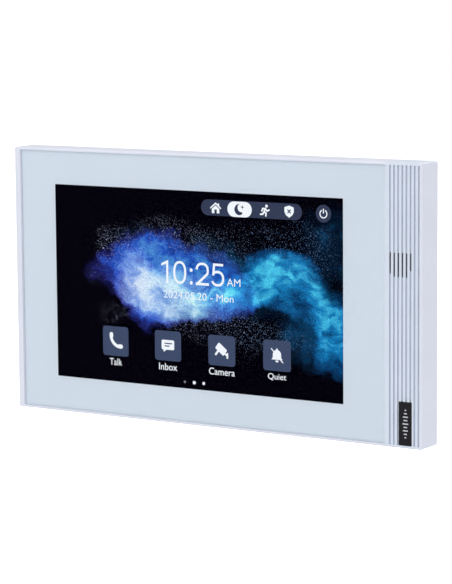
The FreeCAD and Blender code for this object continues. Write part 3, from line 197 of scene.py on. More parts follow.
def moulded_plastic(name, colour, rough=0.42, grain=0.16 * MM, depth=0.006 * MM, ribbed=False):
    """Spark-eroded moulding: fine even grain, faint cloudiness and painted shade in its corners.

    A ribbed one has painted shade and a painted reflection of the glass's blue on its ribs,
    and near-black painted shade on its sound slots' walls.
    """
    s = Shader(name)
    cloud = s.noise(14 * MM, 3.0)
    fine = s.noise(grain, 2.0, 0.6)
    tone = s.mix(s.ramp(cloud, (0.35, 0.0), (0.7, 1.0)), shade(colour, 0.985), shade(colour, 1.01))
    tone = s.mix(s.ramp(fine, (0.3, 0.0), (0.75, 0.12)), tone, shade(colour, 0.93))
    # painted shade: where ambient occlusion finds corners, creases and recesses, the colour goes part way to
    # a darker copy
    corner = s.node("AmbientOcclusion", {"samples": 6}, Distance=1.2 * MM).outputs["AO"]
    tone = s.mix(s.ramp(corner, (0.35, 0.10), (0.85, 0.0)), tone, shade(colour, 0.55))
    if ribbed:
        # painted shade and a painted reflection of the glass's blue: the ribs beside the glass are made
        # darker and bluer
        tone = s.mix(painted_rib_shade(s), tone, s.mix(1.0, tone, (0.92, 0.965, 0.975), "MULTIPLY"))
        # painted shade: the sound slots' walls are coloured near black, as shade falls deep inside them
        tone = s.mix(painted_slot_shade(s), tone, srgb(44, 40, 42))
    roughness = s.ramp(s.math("ADD", s.math("MULTIPLY", cloud, 0.5), s.math("MULTIPLY", fine, 0.5)),
                       (0.25, rough - 0.05), (0.75, rough + 0.06))
    return s.surface(Base_Color=tone, Roughness=roughness, IOR=1.5, Subsurface_Weight=0.04,
                     Subsurface_Radius=(0.4 * MM, 0.35 * MM, 0.3 * MM), Normal=s.bump(fine, depth, 0.6))


def painted_rib_shade(s):
    """1 on the ribs beside the glass, which get painted shade and a painted reflection of the glass's blue.
    """
    x, _, _ = s.axes()
    return s.math("MULTIPLY", s.math("GREATER_THAN", x, GLASS_HIGH.x + 0.05 * MM),
                  s.math("LESS_THAN", x, LAST_GROOVE_X))


def painted_slot_shade(s):
    """1 on the walls of the sound slots, which go on from the floors of the first six grooves, where painted
    shade goes.
    """
    x, y, z = s.axes()
    from_groove = s.math("PINGPONG", s.math("SUBTRACT", x, FIRST_GROOVE_X), GROOVE_PITCH / 2)
    limits = ((from_groove, "LESS_THAN", SLOT_REACH), (y, "GREATER_THAN", GROOVE_FLOOR_Y + 0.02 * MM),
              (z, "LESS_THAN", SLOT_HIGH_Z), (z, "GREATER_THAN", SLOT_LOW_Z),
              (x, "GREATER_THAN", SLOTS_LEFT_X), (x, "LESS_THAN", SLOTS_RIGHT_X))
    result = 1.0
    for value, test, limit in limits:
        result = s.math("MULTIPLY", result, s.math(test, value, limit))
    return result


def gloss_plastic(name, colour, rough=0.16, shine=0.5):
    """Polished moulding with faint flow lines and hairline scuffs."""
    s = Shader(name)
    flow = s.noise(9 * MM, 2.0, 0.5, warp=1.2)
    long_way = s.vector("MULTIPLY", s.point, (1.0, 1.0, 0.08))
    scuffs = s.ramp(s.noise(0.09 * MM, 2.0, 0.5, point=long_way), (0.58, 0.0), (0.72, 1.0))
    tone = s.mix(flow, shade(colour, 0.9), shade(colour, 1.15))
    roughness = s.mix(s.math("MULTIPLY", scuffs, 0.3), (rough,) * 3, (rough + 0.22,) * 3)
    return s.surface(Base_Color=tone, Roughness=roughness, Specular_IOR_Level=shine, Coat_Weight=0.8 * shine,
                     Coat_Roughness=0.08, Normal=s.bump(flow, 0.004 * MM, 0.4))


def rolled_steel(name, colour, rough=0.34, spangle=2.6 * MM):
    """Zinc-coated sheet: crystal spangle, rolling streaks and dull handling marks."""
    s = Shader(name)
    crystals = s.cells(spangle, output="Color")
    grey = s.node("RGBToBW", Color=crystals).outputs[0]
    lines = s.noise(0.22 * MM, 3.0, 0.6, point=s.vector("MULTIPLY", s.point, (0.05, 1.0, 1.0)))
    marks = s.noise(11 * MM, 4.0, 0.62)
    tone = s.mix(s.ramp(grey, (0.2, 0.0), (0.8, 1.0)), shade(colour, 0.82), shade(colour, 1.08))
    tone = s.mix(s.ramp(marks, (0.52, 0.0), (0.72, 0.25)), tone, shade(colour, 0.7))
    height = s.math("ADD", s.math("MULTIPLY", grey, 0.35), lines)
    roughness = s.math("ADD", s.math("MULTIPLY", lines, 0.16), s.math("MULTIPLY", grey, 0.12))
    return s.surface(Base_Color=tone, Metallic=0.85, Roughness=s.math("ADD", roughness, rough - 0.12),
                     Normal=s.bump(height, 0.01 * MM, 0.5))


def plated_metal(name, colour, rough=0.24, grain=0.3 * MM):
    """Turned or stamped metal with a thin plating: soft grain and small bright scratches."""
    s = Shader(name)
    soft = s.noise(1.6 * MM, 3.0, 0.6)
    fine = s.noise(grain, 2.0, 0.5)
    tone = s.mix(soft, shade(colour, 0.78), shade(colour, 1.1))
    roughness = s.math("ADD", s.math("MULTIPLY", fine, 0.2), rough - 0.08)
    return s.surface(Base_Color=tone, Metallic=1.0, Roughness=roughness, Normal=s.bump(fine, 0.006 * MM, 0.5))


def label_film(name, colour, ink):
    """Silver film of the rear label, printed with a frame and empty ruled lines."""
    margin, frame_line, rule_line, rule_pitch = 1.4 * MM, 0.14 * MM, 0.1 * MM, 2.3 * MM
    s = Shader(name)
    low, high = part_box("rating_label")
    x, _, z = s.axes()
    dx = s.math("ABSOLUTE", s.math("SUBTRACT", x, (low.x + high.x) / 2))
    dz = s.math("ABSOLUTE", s.math("SUBTRACT", z, (low.z + high.z) / 2))
    half_wide, half_high = (high.x - low.x) / 2 - margin, (high.z - low.z) / 2 - margin
    edge = s.math("MAXIMUM", s.math("SUBTRACT", dx, half_wide), s.math("SUBTRACT", dz, half_high))
    border = s.math("LESS_THAN", s.math("ABSOLUTE", edge), frame_line)
    rules = s.math("LESS_THAN", s.math("PINGPONG", dz, rule_pitch), rule_line)
    rules = s.math("MULTIPLY", rules, s.math("LESS_THAN", edge, -1.6 * MM))
    brushed = s.noise(0.3 * MM, 2.0, 0.5, point=s.vector("MULTIPLY", s.point, (0.06, 1.0, 1.0)))
    tone = s.mix(brushed, shade(colour, 0.92), shade(colour, 1.06))
    tone = s.mix(s.math("MAXIMUM", border, rules), tone, ink)
    roughness = s.math("ADD", s.math("MULTIPLY", brushed, 0.15), 0.3)
    return s.surface(Base_Color=tone, Metallic=0.35, Roughness=roughness,
                     Normal=s.bump(brushed, 0.002 * MM, 0.4))


def soft_rubber(name, colour, rough=0.72):
    """Foam or silicone: open pores and a chalky bloom."""
    s = Shader(name)
    pores = s.cells(0.35 * MM)
    bloom = s.noise(5 * MM, 3.0)
    tone = s.mix(s.ramp(bloom, (0.45, 0.0), (0.8, 0.5)), colour, shade(colour, 2.2))
    tone = s.mix(s.ramp(pores, (0.0, 0.6), (0.35, 0.0)), tone, shade(colour, 0.4))
    return s.surface(Base_Color=tone, Roughness=rough, Normal=s.bump(pores, 0.05 * MM, 0.6))


def woven_cloth(name, colour):
    """Acoustic cloth: plain weave of round threads."""
    thread_pitch = 0.28 * MM
    s = Shader(name)
    x, _, z = s.axes()
    warp = s.math("SINE", s.math("MULTIPLY", x, math.pi / thread_pitch))
    weft = s.math("SINE", s.math("MULTIPLY", z, math.pi / thread_pitch))
    weave = s.math("ABSOLUTE", s.math("MULTIPLY", warp, weft))
    tone = s.mix(weave, shade(colour, 0.3), shade(colour, 1.6))
    return s.surface(Base_Color=tone, Roughness=0.9, Sheen_Weight=0.3, Normal=s.bump(weave, 0.05 * MM, 1.0))


def circuit_board(name, colour):
    """Solder mask over copper tracks and pads."""
    s = Shader(name)
    grid = s.node("TexBrick", {"offset": 0.5, "squash": 0.6}, Vector=s.point, Scale=1.0 / (4 * MM),
                  Mortar_Size=0.035, Color1=(0, 0, 0), Color2=(0.15, 0.15, 0.15), Mortar=(1, 1, 1))
    pads = s.ramp(s.cells(1.9 * MM), (0.10, 1.0), (0.13, 0.0))
    tone = s.mix(grid.outputs["Color"], colour, shade(colour, 1.8))
    tone = s.mix(pads, tone, srgb(200, 196, 180))
    height = s.math("ADD", s.node("RGBToBW", Color=grid.outputs["Color"]).outputs[0], pads)
    return s.surface(Base_Color=tone, Roughness=0.3, Metallic=s.math("MULTIPLY", pads, 0.8),
                     Coat_Weight=0.3, Normal=s.bump(height, 0.02 * MM, 0.5))


def chip_epoxy(name, colour):
    """Moulded chip package with a matt, finely blasted top."""
    s = Shader(name)
    fine = s.noise(0.12 * MM, 2.0, 0.7)
    tone = s.mix(fine, shade(colour, 0.8), shade(colour, 1.5))
    return s.surface(Base_Color=tone, Roughness=s.math("ADD", s.math("MULTIPLY", fine, 0.2), 0.5),
                     Normal=s.bump(fine, 0.01 * MM, 0.7))


def copper_film(name, colour):
    """Amber polyimide film with copper tracks along it."""
    track_pitch = 0.9 * MM
    s = Shader(name)
    x, _, _ = s.axes()
    track = s.math("FRACT", s.math("MULTIPLY", x, 1.0 / track_pitch))
    track = s.ramp(track, (0.42, 0.0), (0.48, 1.0))
    tone = s.mix(track, colour, shade(colour, 1.5))
    return s.surface(Base_Color=tone, Roughness=0.28, Coat_Weight=0.5,
                     Normal=s.bump(track, 0.015 * MM, 0.5))


def clear_glass(name):
    """Thin coated glass that doesn't bend light: it mirrors little head-on and more at a grazing angle."""
    s = Shader(name)
    smear = s.noise(26 * MM, 4.0, 0.6, warp=0.6)
    rough = s.ramp(smear, (0.4, 0.012), (0.75, 0.03))
    mirror = s.node("BsdfGlossy", Color=(1, 1, 1), Roughness=rough)
    clear = s.node("BsdfTransparent", Color=(1, 1, 1))
    grazing = s.node("LayerWeight", Blend=0.5).outputs["Facing"]
    share = s.math("MULTIPLY", s.node("Fresnel", IOR=1.42), s.ramp(grazing, (0.3, 0.03), (0.85, 1.0)))
    return s.output(mix_shaders(s, share, clear, mirror))


def mix_shaders(s, share, first, second):
    made = s.node("MixShader")
    s.feed(made.inputs[0], share)
    s.feed(made.inputs[1], first)
    s.feed(made.inputs[2], second)
    return made


def glass_print(name, colour, glow=0.0):
    """Ceramic ink behind the glass, seen through its faint tint; glow is painted light standing in for light
    the glass leads to it.
    """
    s = Shader(name)
    cloud = s.noise(60 * MM, 2.0)
    dots = s.noise(0.25 * MM, 1.0)
    tone = s.mix(cloud, shade(colour, 0.985), shade(colour, 1.015))
    tone = s.mix(s.ramp(dots, (0.4, 0.0), (0.7, 0.05)), tone, shade(colour, 0.9))
    return s.surface(Base_Color=tone, Roughness=0.55, Emission_Color=tone, Emission_Strength=glow,
                     Normal=s.bump(dots, 0.002 * MM, 0.3))


def light_ink(name, colour, ripple=0.05):
    """Part of the lit screen: steady light with the backlight's faint unevenness in it."""
    s = Shader(name)
    lit = s.mix(s.noise(3 * MM, 2.0), shade(colour, 1.0 - ripple), shade(colour, 1.0 + ripple))
    return s.surface(Base_Color=shade(colour, 0.05), Roughness=0.6, Specular_IOR_Level=0.0,
                     Emission_Color=lit, Emission_Strength=1.0)


# ---------------------------------------------------------------------------------------------------------
# Wallpaper of the screen: two drifts of lit powder on black
# ---------------------------------------------------------------------------------------------------------

def heap(s, point, patches, steep=1.7):
    """Soft overlapping ellipses, each (x, z, half width, half height, turn, strength) in millimetres."""
    rest = 1.0
    for x, z, wide, high, turn, strength in patches:
        placed = s.vector("SUBTRACT", point, (x, z, 0))
        turned = s.node("VectorRotate", {"rotation_type": "Z_AXIS"}, Vector=placed, Angle=math.radians(-turn))
        sized = s.vector("DIVIDE", turned, (wide, high, 1.0))
        inside = s.node("TexGradient", {"gradient_type": "SPHERICAL"}, Vector=sized).outputs["Fac"]
        eased = s.math("SMOOTH_MIN", s.math("MULTIPLY", inside, steep), 1.0, 0.3)
        rest = s.math("MULTIPLY", rest, s.math("SUBTRACT", 1.0, s.math("MULTIPLY", eased, strength)))
    return s.math("SUBTRACT", 1.0, rest)


# heaps of powder and grains, as heap() reads them
BLUE_PATCHES = ((-26, 11.5, 28, 16, -8, 0.8), (-16, 2, 40, 21, -10, 0.8), (-48, 5, 17, 13, 0, 0.3),
                (6, 4, 34, 17, -16, 0.7), (-27, -10, 17, 11, -14, 0.65), (22, -1, 20, 11, -6, 0.4),
                (12, 13, 20, 10, -20, 0.45), (-13, 20, 17, 9, -14, 0.4))
WHITE_PATCHES = ((-20, -2, 31, 16, -10, 0.95), (-33, -1, 13, 11, 10, 0.5), (-8, -8, 24, 8, -8, 0.9),
                 (-30, 10, 11, 13, 25, 0.7), (4, -1, 32, 12, -14, 0.5))
CYAN_PATCHES = ((44, 11.5, 25, 11.5, 6, 0.95), (58, 7, 20, 12, -30, 0.65), (68, -4, 16, 14, -50, 0.55),
                (75, -12, 13, 18, 0, 0.7), (72, -24, 14, 12, 0, 0.52), (30, 2, 26, 10, 6, 0.85),
                (14, -2, 22, 11, -10, 0.5), (50, -4, 22, 7, -14, 0.45))
NIGHT_PATCHES = ((74, 24, 22, 24, 10, 0.48), (58, -17, 17, 18, -20, 0.85), (40, 2, 46, 18, 0, 0.5),
                 (16, 14, 24, 11, -20, 0.7), (-24, 18, 34, 12, -6, 0.4))
HOLE_PATCHES = ((72.5, 7, 8, 9, 0, 0.75), (64, 12, 9, 5, -30, 0.3))
GRAIN_PATCHES = ((-44, 19, 15, 12, -20, 1.0), (-6, 22, 40, 14, -14, 0.75), (34, 24, 44, 16, 0, 0.5),
                 (18, -16, 60, 11, -4, 0.85), (-46, -13, 14, 9, 0, 0.5), (60, 20, 26, 24, 0, 0.5),
                 (-54, 5, 12, 12, 0, 0.4), (20, -26, 60, 14, 0, 0.3))

# layers of loose grains: cell size, dot radius in cells, threshold, brightness
GRAIN_LAYERS = ((0.50, 0.42, 0.22, 0.75), (0.95, 0.27, 0.42, 0.9), (2.4, 0.15, 0.42, 1.6))


def powder_picture(name):
    """Lit screen with the wallpaper: a dark haze, three drifts screened over it, tints, holes and grains."""
    s = Shader(name)
    # screen millimetres as (x, z, 0)
    from_centre = s.axes(s.vector("SUBTRACT", s.point, tuple(SCREEN_CENTRE)))
    x = s.math("MULTIPLY", from_centre["X"], 1 / MM)
    flat = s.node("CombineXYZ", X=x, Y=s.math("MULTIPLY", from_centre["Z"], 1 / MM)).outputs[0]

    def wander(size, reach):
        made = s.node("TexNoise", Vector=flat, Scale=1.0 / size, Detail=3.0, Roughness=0.6)
        centred = s.vector("SUBTRACT", made.outputs["Color"], (0.5, 0.5, 0.5))
        return s.vector("MULTIPLY", centred, (reach, reach, 0.0))

    def grown(value, low, high, out_low=0.0, out_high=1.0):
        made = s.node("MapRange", Value=value, From_Min=low, From_Max=high, To_Min=out_low, To_Max=out_high)
        return made.outputs[0]

    def grey(value):
        return s.node("CombineXYZ", X=value, Y=value, Z=value).outputs[0]

    drift = s.vector("ADD", flat, s.vector("ADD", wander(26.0, 16.0), wander(6.0, 6.0)))
    body = grown(s.noise(12.0, 9.0, 0.58, point=drift), 0.30, 0.70)
    stretched = s.vector("MULTIPLY", drift, (0.55, 1.25, 1.0))
    veins = grown(s.noise(6.5, 9.0, 0.62, point=stretched, warp=0.3), 0.32, 0.68)
    dust = s.noise(0.75, 3.0, 0.75, point=flat)
    frays = s.math("MULTIPLY", s.math("SUBTRACT", dust, 0.5), 0.8)

    def drifted(patches, low, high, lumpy, veined):
        """Powder density: the heap, broken up by lumps and veins and frayed by dust at its edge."""
        thick = heap(s, drift, patches)
        broken = s.math("MULTIPLY", thick, grown(body, 0.0, 1.0, 1.0 - lumpy, 1.0 + lumpy))
        broken = s.math("MULTIPLY", broken, grown(veins, 0.0, 1.0, 1.0 - veined, 1.0 + veined))
        edge = s.math("MULTIPLY", frays, s.math("SUBTRACT", 1.0, thick))
        near = s.math("MINIMUM", s.math("MULTIPLY", thick, 8.0), 1.0)
        return grown(s.math("MULTIPLY", s.math("ADD", broken, edge), near), low, high)

    black = (0.0, 0.0, 0.0)
    colour = s.ramp(drifted(NIGHT_PATCHES, 0.12, 0.9, 0.5, 0.3), (0.0, srgb(1, 0, 6)), (0.5, srgb(4, 24, 46)),
                    (1.0, srgb(8, 56, 92)))
    blue = drifted(BLUE_PATCHES, 0.20, 1.15, 0.45, 0.3)
    cyan = drifted(CYAN_PATCHES, 0.16, 1.20, 0.32, 0.38)
    white = drifted(WHITE_PATCHES, 0.20, 1.15, 0.25, 0.25)
    drifts = ((blue, srgb(28, 36, 104), srgb(30, 78, 184), srgb(74, 138, 210)),
              (cyan, srgb(6, 58, 104), srgb(20, 120, 180), srgb(72, 196, 232)),
              (white, srgb(56, 72, 146), srgb(118, 154, 206), srgb(204, 224, 238)))
    for density, deep, medium, bright in drifts:
        tint = s.ramp(density, (0.0, black), (0.25, deep), (0.6, medium), (1.0, bright))
        colour = s.mix(1.0, colour, tint, "SCREEN")
    left_tint = s.mix(grown(x, -58.0, -22.0, 1.0, 0.0), (1.0, 1.0, 1.0), (1.05, 0.72, 0.88))
    colour = s.mix(1.0, colour, left_tint, "MULTIPLY")
    middle = s.math("MINIMUM", grown(x, -18.0, 4.0), grown(x, 12.0, 28.0, 1.0, 0.0))
    middle_tint = s.mix(middle, (1.0, 1.0, 1.0), (0.92, 1.14, 0.97))
    colour = s.mix(1.0, colour, middle_tint, "MULTIPLY")
    colour = s.mix(1.0, colour, grey(s.math("SUBTRACT", 1.0, heap(s, drift, HOLE_PATCHES))), "MULTIPLY")
    colour = s.mix(1.0, colour, grey(grown(dust, 0.0, 1.0, 0.2, 1.8)), "MULTIPLY")

    # loose grains round the drifts
    near = heap(s, flat, GRAIN_PATCHES)
    tint = s.mix(grown(x, -10.0, 50.0), srgb(186, 196, 236), srgb(128, 172, 226))
    for size, radius, low, bright in GRAIN_LAYERS:
        cell = s.node("TexVoronoi", Vector=flat, Scale=1.0 / size)
        pick = s.node("SeparateColor", Color=cell.outputs["Color"])
        share = s.math("MULTIPLY", pick.outputs[0], grown(body, 0.0, 1.0, 0.6, 1.2))
        chance = s.math("MULTIPLY", near, share)
        dot = grown(cell.outputs["Distance"], radius, radius * 0.3)
        lit = s.math("MULTIPLY", s.math("MULTIPLY", dot, grown(chance, low, low + 0.2)),
                     s.math("MULTIPLY", pick.outputs[1], bright))
        colour = s.mix(s.math("MINIMUM", lit, 1.0), colour, tint, "SCREEN")
    return s.surface(Base_Color=(0.0004, 0.0004, 0.0005), Roughness=0.6, Specular_IOR_Level=0.0,
                     Emission_Color=colour, Emission_Strength=1.0)


# ---------------------------------------------------------------------------------------------------------
# Outlines, drawn in millimetres on a flat page, and slabs made from them
# ---------------------------------------------------------------------------------------------------------

def on_circle(cx, cz, r, turn):
    """Point of a circle at this many degrees."""
    return cx + r * math.cos(math.radians(turn)), cz + r * math.sin(math.radians(turn))


def arc(cx, cz, r, start, end, steps=24):
    """Points on a circle from start to end degrees."""
    return [on_circle(cx, cz, r, start + (end - start) * i / steps) for i in range(steps + 1)]


def disc(cx, cz, r):
    return arc(cx, cz, r, 0, 360, 40)[:-1]


def rounded(cx, cz, wide, high, r):
    """Rectangle with round corners."""
    x, z = wide / 2 - r, high / 2 - r
    corners = ((x, z, 0), (-x, z, 90), (-x, -z, 180), (x, -z, 270))
    return [p for dx, dz, turn in corners for p in arc(cx + dx, cz + dz, r, turn, turn + 90, 10)]


def bar(a, b, width):
    """Round-ended stroke from point a to point b."""
    turn = math.degrees(math.atan2(b[1] - a[1], b[0] - a[0]))
    return arc(*b, width / 2, turn - 90, turn + 90, 10) + arc(*a, width / 2, turn + 90, turn + 270, 10)


def band(cx, cz, r, width, start, end):
    """Round-ended stroke along a circle."""
    outer = arc(cx, cz, r + width / 2, start, end, 30)
    inner = arc(cx, cz, r - width / 2, end, start, 30)
    tip = arc(*on_circle(cx, cz, r, end), width / 2, end, end + 180, 8)[1:-1]
    tail = arc(*on_circle(cx, cz, r, start), width / 2, start + 180, start + 360, 8)[1:-1]
    return outer + tip + inner + tail


def stroke(path, width):
    """Outline of a line of even width along the path."""
    left, right = [], []
    for i, (x, z) in enumerate(path):
        x0, z0 = path[max(i - 1, 0)]
        x1, z1 = path[min(i + 1, len(path) - 1)]
        reach = width / 2 / math.hypot(x1 - x0, z1 - z0)
        left.append((x - (z1 - z0) * reach, z + (x1 - x0) * reach))
        right.append((x + (z1 - z0) * reach, z - (x1 - x0) * reach))
    return right + left[::-1]


def oval(cx, cz, half_wide, half_high, start=0, end=360, steps=48, square=2.3):
    """Points on a slightly squared oval from start to end degrees."""
    points = []
    for i in range(steps + 1):
        t = math.radians(start + (end - start) * i / steps)
        c, d = math.cos(t), math.sin(t)
        points.append((cx + half_wide * math.copysign(abs(c) ** (2 / square), c),
                       cz + half_high * math.copysign(abs(d) ** (2 / square), d)))
    return points


def moved(points, dx=0.0, dz=0.0, turn=0.0, scale=1.0):
    c, s = math.cos(math.radians(turn)) * scale, math.sin(math.radians(turn)) * scale
    return [(dx + x * c - z * s, dz + x * s + z * c) for x, z in points]


def add_slab(verts, faces, loops, y_front, y_back):
    """Adds the closed slab between two planes; the first loop is the outline and the rest are holes."""
    flat = [Vector((x, z, 0.0)) for loop in loops for x, z in loop]
    triangles = tessellate_polygon([[Vector((x, z, 0.0)) for x, z in loop] for loop in loops])
    base, count = len(verts), len(flat)
    verts += [(p.x, y_front, p.y) for p in flat] + [(p.x, y_back, p.y) for p in flat]
    for a, b, c in triangles:
        if (flat[b] - flat[a]).cross(flat[c] - flat[a]).z < 0:
            b, c = c, b
        faces.append((base + a, base + b, base + c))
        faces.append((base + count + a, base + count + c, base + count + b))
    first = 0
    for number, loop in enumerate(loops):
        area = sum(p[0] * q[1] - q[0] * p[1] for p, q in zip(loop, loop[1:] + loop[:1]))
        along = (area > 0) == (number == 0)
        for i in range(len(loop)):
            a, b = base + first + i, base + first + (i + 1) % len(loop)
            side = (a, a + count, b + count, b) if along else (b, b + count, a + count, a)
            faces.append(side)
        first += len(loop)


def piece(name, mesh, material):
    """Links a finished mesh as a piece that rides on the monitor."""
    made = bpy.data.objects.new(name, mesh)
    bpy.context.scene.collection.objects.link(made)
    mesh.materials.append(material)
    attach(made, "monitor")


def slab_piece(name, shapes, y_range, material, centre=SCREEN_CENTRE):
    """Piece made of slabs. Each shape is a list of loops in millimetres from centre."""
    verts, faces = [], []
    for loops in shapes:
        placed = [[(centre.x + x * MM, centre.z + z * MM) for x, z in loop] for loop in loops]
        add_slab(verts, faces, placed, *y_range)
    mesh = bpy.data.meshes.new(name)
    mesh.from_pydata(verts, [], faces)
    mesh.validate()
    piece(name, mesh, material)


def text_piece(name, lines, y_range, material):
    """Words as closed slabs. Each line is (words, left, right, low, high, weight) in screen millimetres."""
    verts, faces = [], []
    y_front, y_back = y_range
    for words, left, right, low, high, weight in lines:
        curve = bpy.data.curves.new(name, "FONT")
        curve.body = words
        curve.extrude = 0.5  # any depth, because the vertices move to the planes of y_range below
        curve.offset = weight
        curve.resolution_u = 6
        holder = bpy.data.objects.new(name, curve)
        bpy.context.scene.collection.objects.link(holder)
        bpy.context.view_layer.update()
        mesh = bpy.data.meshes.new_from_object(holder)
        bpy.data.objects.remove(holder)
        xs, zs = [v.co.x for v in mesh.vertices], [v.co.y for v in mesh.vertices]
        wide, tall = (right - left) / (max(xs) - min(xs)), (high - low) / (max(zs) - min(zs))
        base = len(verts)
        for v in mesh.vertices:
            x = SCREEN_CENTRE.x + (left + (v.co.x - min(xs)) * wide) * MM
            z = SCREEN_CENTRE.z + (low + (v.co.y - min(zs)) * tall) * MM
            verts.append((x, y_front if v.co.z > 0 else y_back, z))
        faces += [tuple(base + i for i in p.vertices) for p in mesh.polygons]
        bpy.data.meshes.remove(mesh)
    mesh = bpy.data.meshes.new(name)
    mesh.from_pydata(verts, [], faces)
    close_seams(mesh)
    piece(name, mesh, material)


def close_seams(mesh):
    """Joins doubled vertices, so that the mesh is closed, and turns its faces outwards."""
    work = bmesh.new()
    work.from_mesh(mesh)
    bmesh.ops.remove_doubles(work, verts=work.verts, dist=0.0005 * MM)
    bmesh.ops.recalc_face_normals(work, faces=work.faces)
    work.to_mesh(mesh)
    work.free()


# ---------------------------------------------------------------------------------------------------------
# Layers behind the glass
# ---------------------------------------------------------------------------------------------------------

GLASS_CORNER = 0.6  # millimetres

GLASS_PRINT = glass_print("glass_print", srgb(222, 233, 243))
# painted light: this edge ink glows, standing in for light that the glass leads round to its edge
EDGE_PRINT_AND_GLOW = glass_print("edge_print_and_glow", srgb(212, 214, 226), 0.26)
WHITE_LIGHT = light_ink("white_light", srgb(236, 242, 248), 0.02)
TILE_LIGHT = light_ink("tile_light", srgb(62, 74, 102))
DARK_LIGHT = light_ink("dark_light", srgb(52, 60, 84))
DIM_LIGHT = light_ink("dim_light", srgb(120, 124, 134))


def glass_outline(grown):
    """Outline of the glass, grown on every side, in millimetres from the screen's centre."""
    wide = (GLASS_HIGH.x - GLASS_LOW.x) / MM + 2 * grown
    high = (GLASS_HIGH.z - GLASS_LOW.z) / MM + 2 * grown
    middle = GLASS_MIDDLE_X - SCREEN_CENTRE.x
    return rounded(middle / MM, -SCREEN_CENTRE.z / MM, wide, high, GLASS_CORNER + grown)


def printed_border():
    """Ink round the screen window, as one sheet with a round-cornered opening."""
    window = rounded(0, 0, SCREEN_WIDE, SCREEN_HIGH, 0.35)[::-1]
    slab_piece("printed_border", [[glass_outline(-0.03), window]], layer("print"), GLASS_PRINT)


def coated_edge():
    """The same ink carried round the ground edge of the glass, inside its fitting gap, with a painted glow.
    """
    rim = [glass_outline(0.11), glass_outline(0.03)[::-1]]
    slab_piece("coated_edge", [rim], (GLASS_LOW.y + 0.12 * MM, layer("print")[1]), EDGE_PRINT_AND_GLOW)


def screen_picture():
    hidden = 1.2  # under the ink, both sides together
    outline = rounded(0, 0, SCREEN_WIDE + hidden, SCREEN_HIGH + hidden, 0.5)
    slab_piece("screen_picture", [[outline]], layer("picture"), powder_picture("powder_picture"))


# what the screen shows, in screen millimetres
TILE_XS = (-44.1, -14.95, 14.25, 43.45)
TILE_Z = -26.35
TILE_NAMES = (("Talk", 3.5), ("Inbox", 5.0), ("Camera", 6.9), ("Quiet", 4.8))  # words and half their width
STATUS_BAR = (30.3, 38.15, 52.9, 7.2)  # middle, width and height
STATUS_Z = STATUS_BAR[1]
STATUS_XS = (11.6, 24.3, 37.5, 50.1)
POWER_AT = (67.6, 38.1)


def screen_tiles():
    tiles = [[rounded(x, TILE_Z, 14.4, 13.8, 1.5)] for x in TILE_XS]
    slab_piece("screen_tiles", tiles, layer("tiles"), TILE_LIGHT)
    plates = [[rounded(*STATUS_BAR, 3.58)], [disc(*POWER_AT, 3.9)]]
    slab_piece("status_plates", plates, layer("tiles"), DARK_LIGHT)


def handset(x, z):
    """Telephone handset: a curved grip between two end pieces."""
    grip = band(0, 4.6, 5.4, 1.5, 222, 318)
    ends = [moved(rounded(0, 0, 2.6, 1.9, 0.7), side * 3.55, 0.9, side * 42) for side in (-1, 1)]
    return [[moved(shape, x - 0.5, z - 0.4, -45)] for shape in [grip] + ends]


def bubble(x, z):
    """Message bubble with two lines cut out of it."""
    outline = rounded(x, z + 0.45, 6.9, 4.5, 0.7)
    lines = [rounded(x + 0.2, z + 1.1, 4.2, 0.55, 0.25)[::-1],
             rounded(x - 0.5, z - 0.1, 2.8, 0.55, 0.25)[::-1]]
    tail = [(x - 2.6, z - 1.7), (x - 0.6, z - 1.7), (x - 2.3, z - 2.9)]
    return [[outline] + lines, [tail]]


def camera(x, z):
    """Tilted wall camera on its bracket."""
    hood = moved(rounded(0, 0, 5.6, 3.4, 0.5), x - 0.3, z + 0.7, -38)
    arm = bar((x + 1.1, z - 1.0), (x + 2.6, z - 1.9), 0.8)
    post = rounded(x + 3.0, z - 2.1, 0.9, 2.6, 0.2)
    nose = moved(rounded(0, 0, 1.0, 3.0, 0.3), x - 2.5, z - 0.95, -38)
    return [[hood], [nose], [arm], [post]]


def bell(x, z):
    """Bell with a stroke through it."""
    body = arc(x, z + 0.5, 2.15, 0, 180, 16) + [(x - 2.2, z - 0.9), (x - 2.9, z - 1.8), (x + 2.9, z - 1.8),
                                                (x + 2.2, z - 0.9)]
    clapper = arc(x, z - 2.15, 0.85, 180, 360, 10)
    knob = disc(x, z + 2.8, 0.45)
    slash = bar((x - 2.9, z + 3.0), (x + 3.0, z - 2.9), 0.5)
    return [[body], [clapper], [knob], [slash]]


def house(x, z):
    roof = [(x - 3.0, z + 0.1), (x - 2.6, z - 0.35), (x, z + 1.75), (x + 2.6, z - 0.35), (x + 3.0, z + 0.1),
            (x + 1.9, z + 1.05), (x + 1.9, z + 2.2), (x + 1.2, z + 2.2), (x + 1.2, z + 1.65), (x, z + 2.6)]
    walls = [(x - 2.0, z - 2.3), (x - 0.65, z - 2.3), (x - 0.65, z - 0.6), (x + 0.65, z - 0.6),
             (x + 0.65, z - 2.3), (x + 2.0, z - 2.3), (x + 2.0, z - 0.35), (x, z + 1.25), (x - 2.0, z - 0.35)]
    return [[roof], [walls]]


def crescent(x, z):
    """Crescent and a four-pointed star."""
    moon = arc(x - 0.2, z - 0.1, 2.5, 70, 310, 30) + arc(x + 0.95, z + 0.75, 1.95, 285, 115, 24)
    star = [on_circle(x + 1.5, z + 1.1, (0.95, 0.32)[i % 2], 45 * i + 90) for i in range(8)]
    return [[moon], [star]]


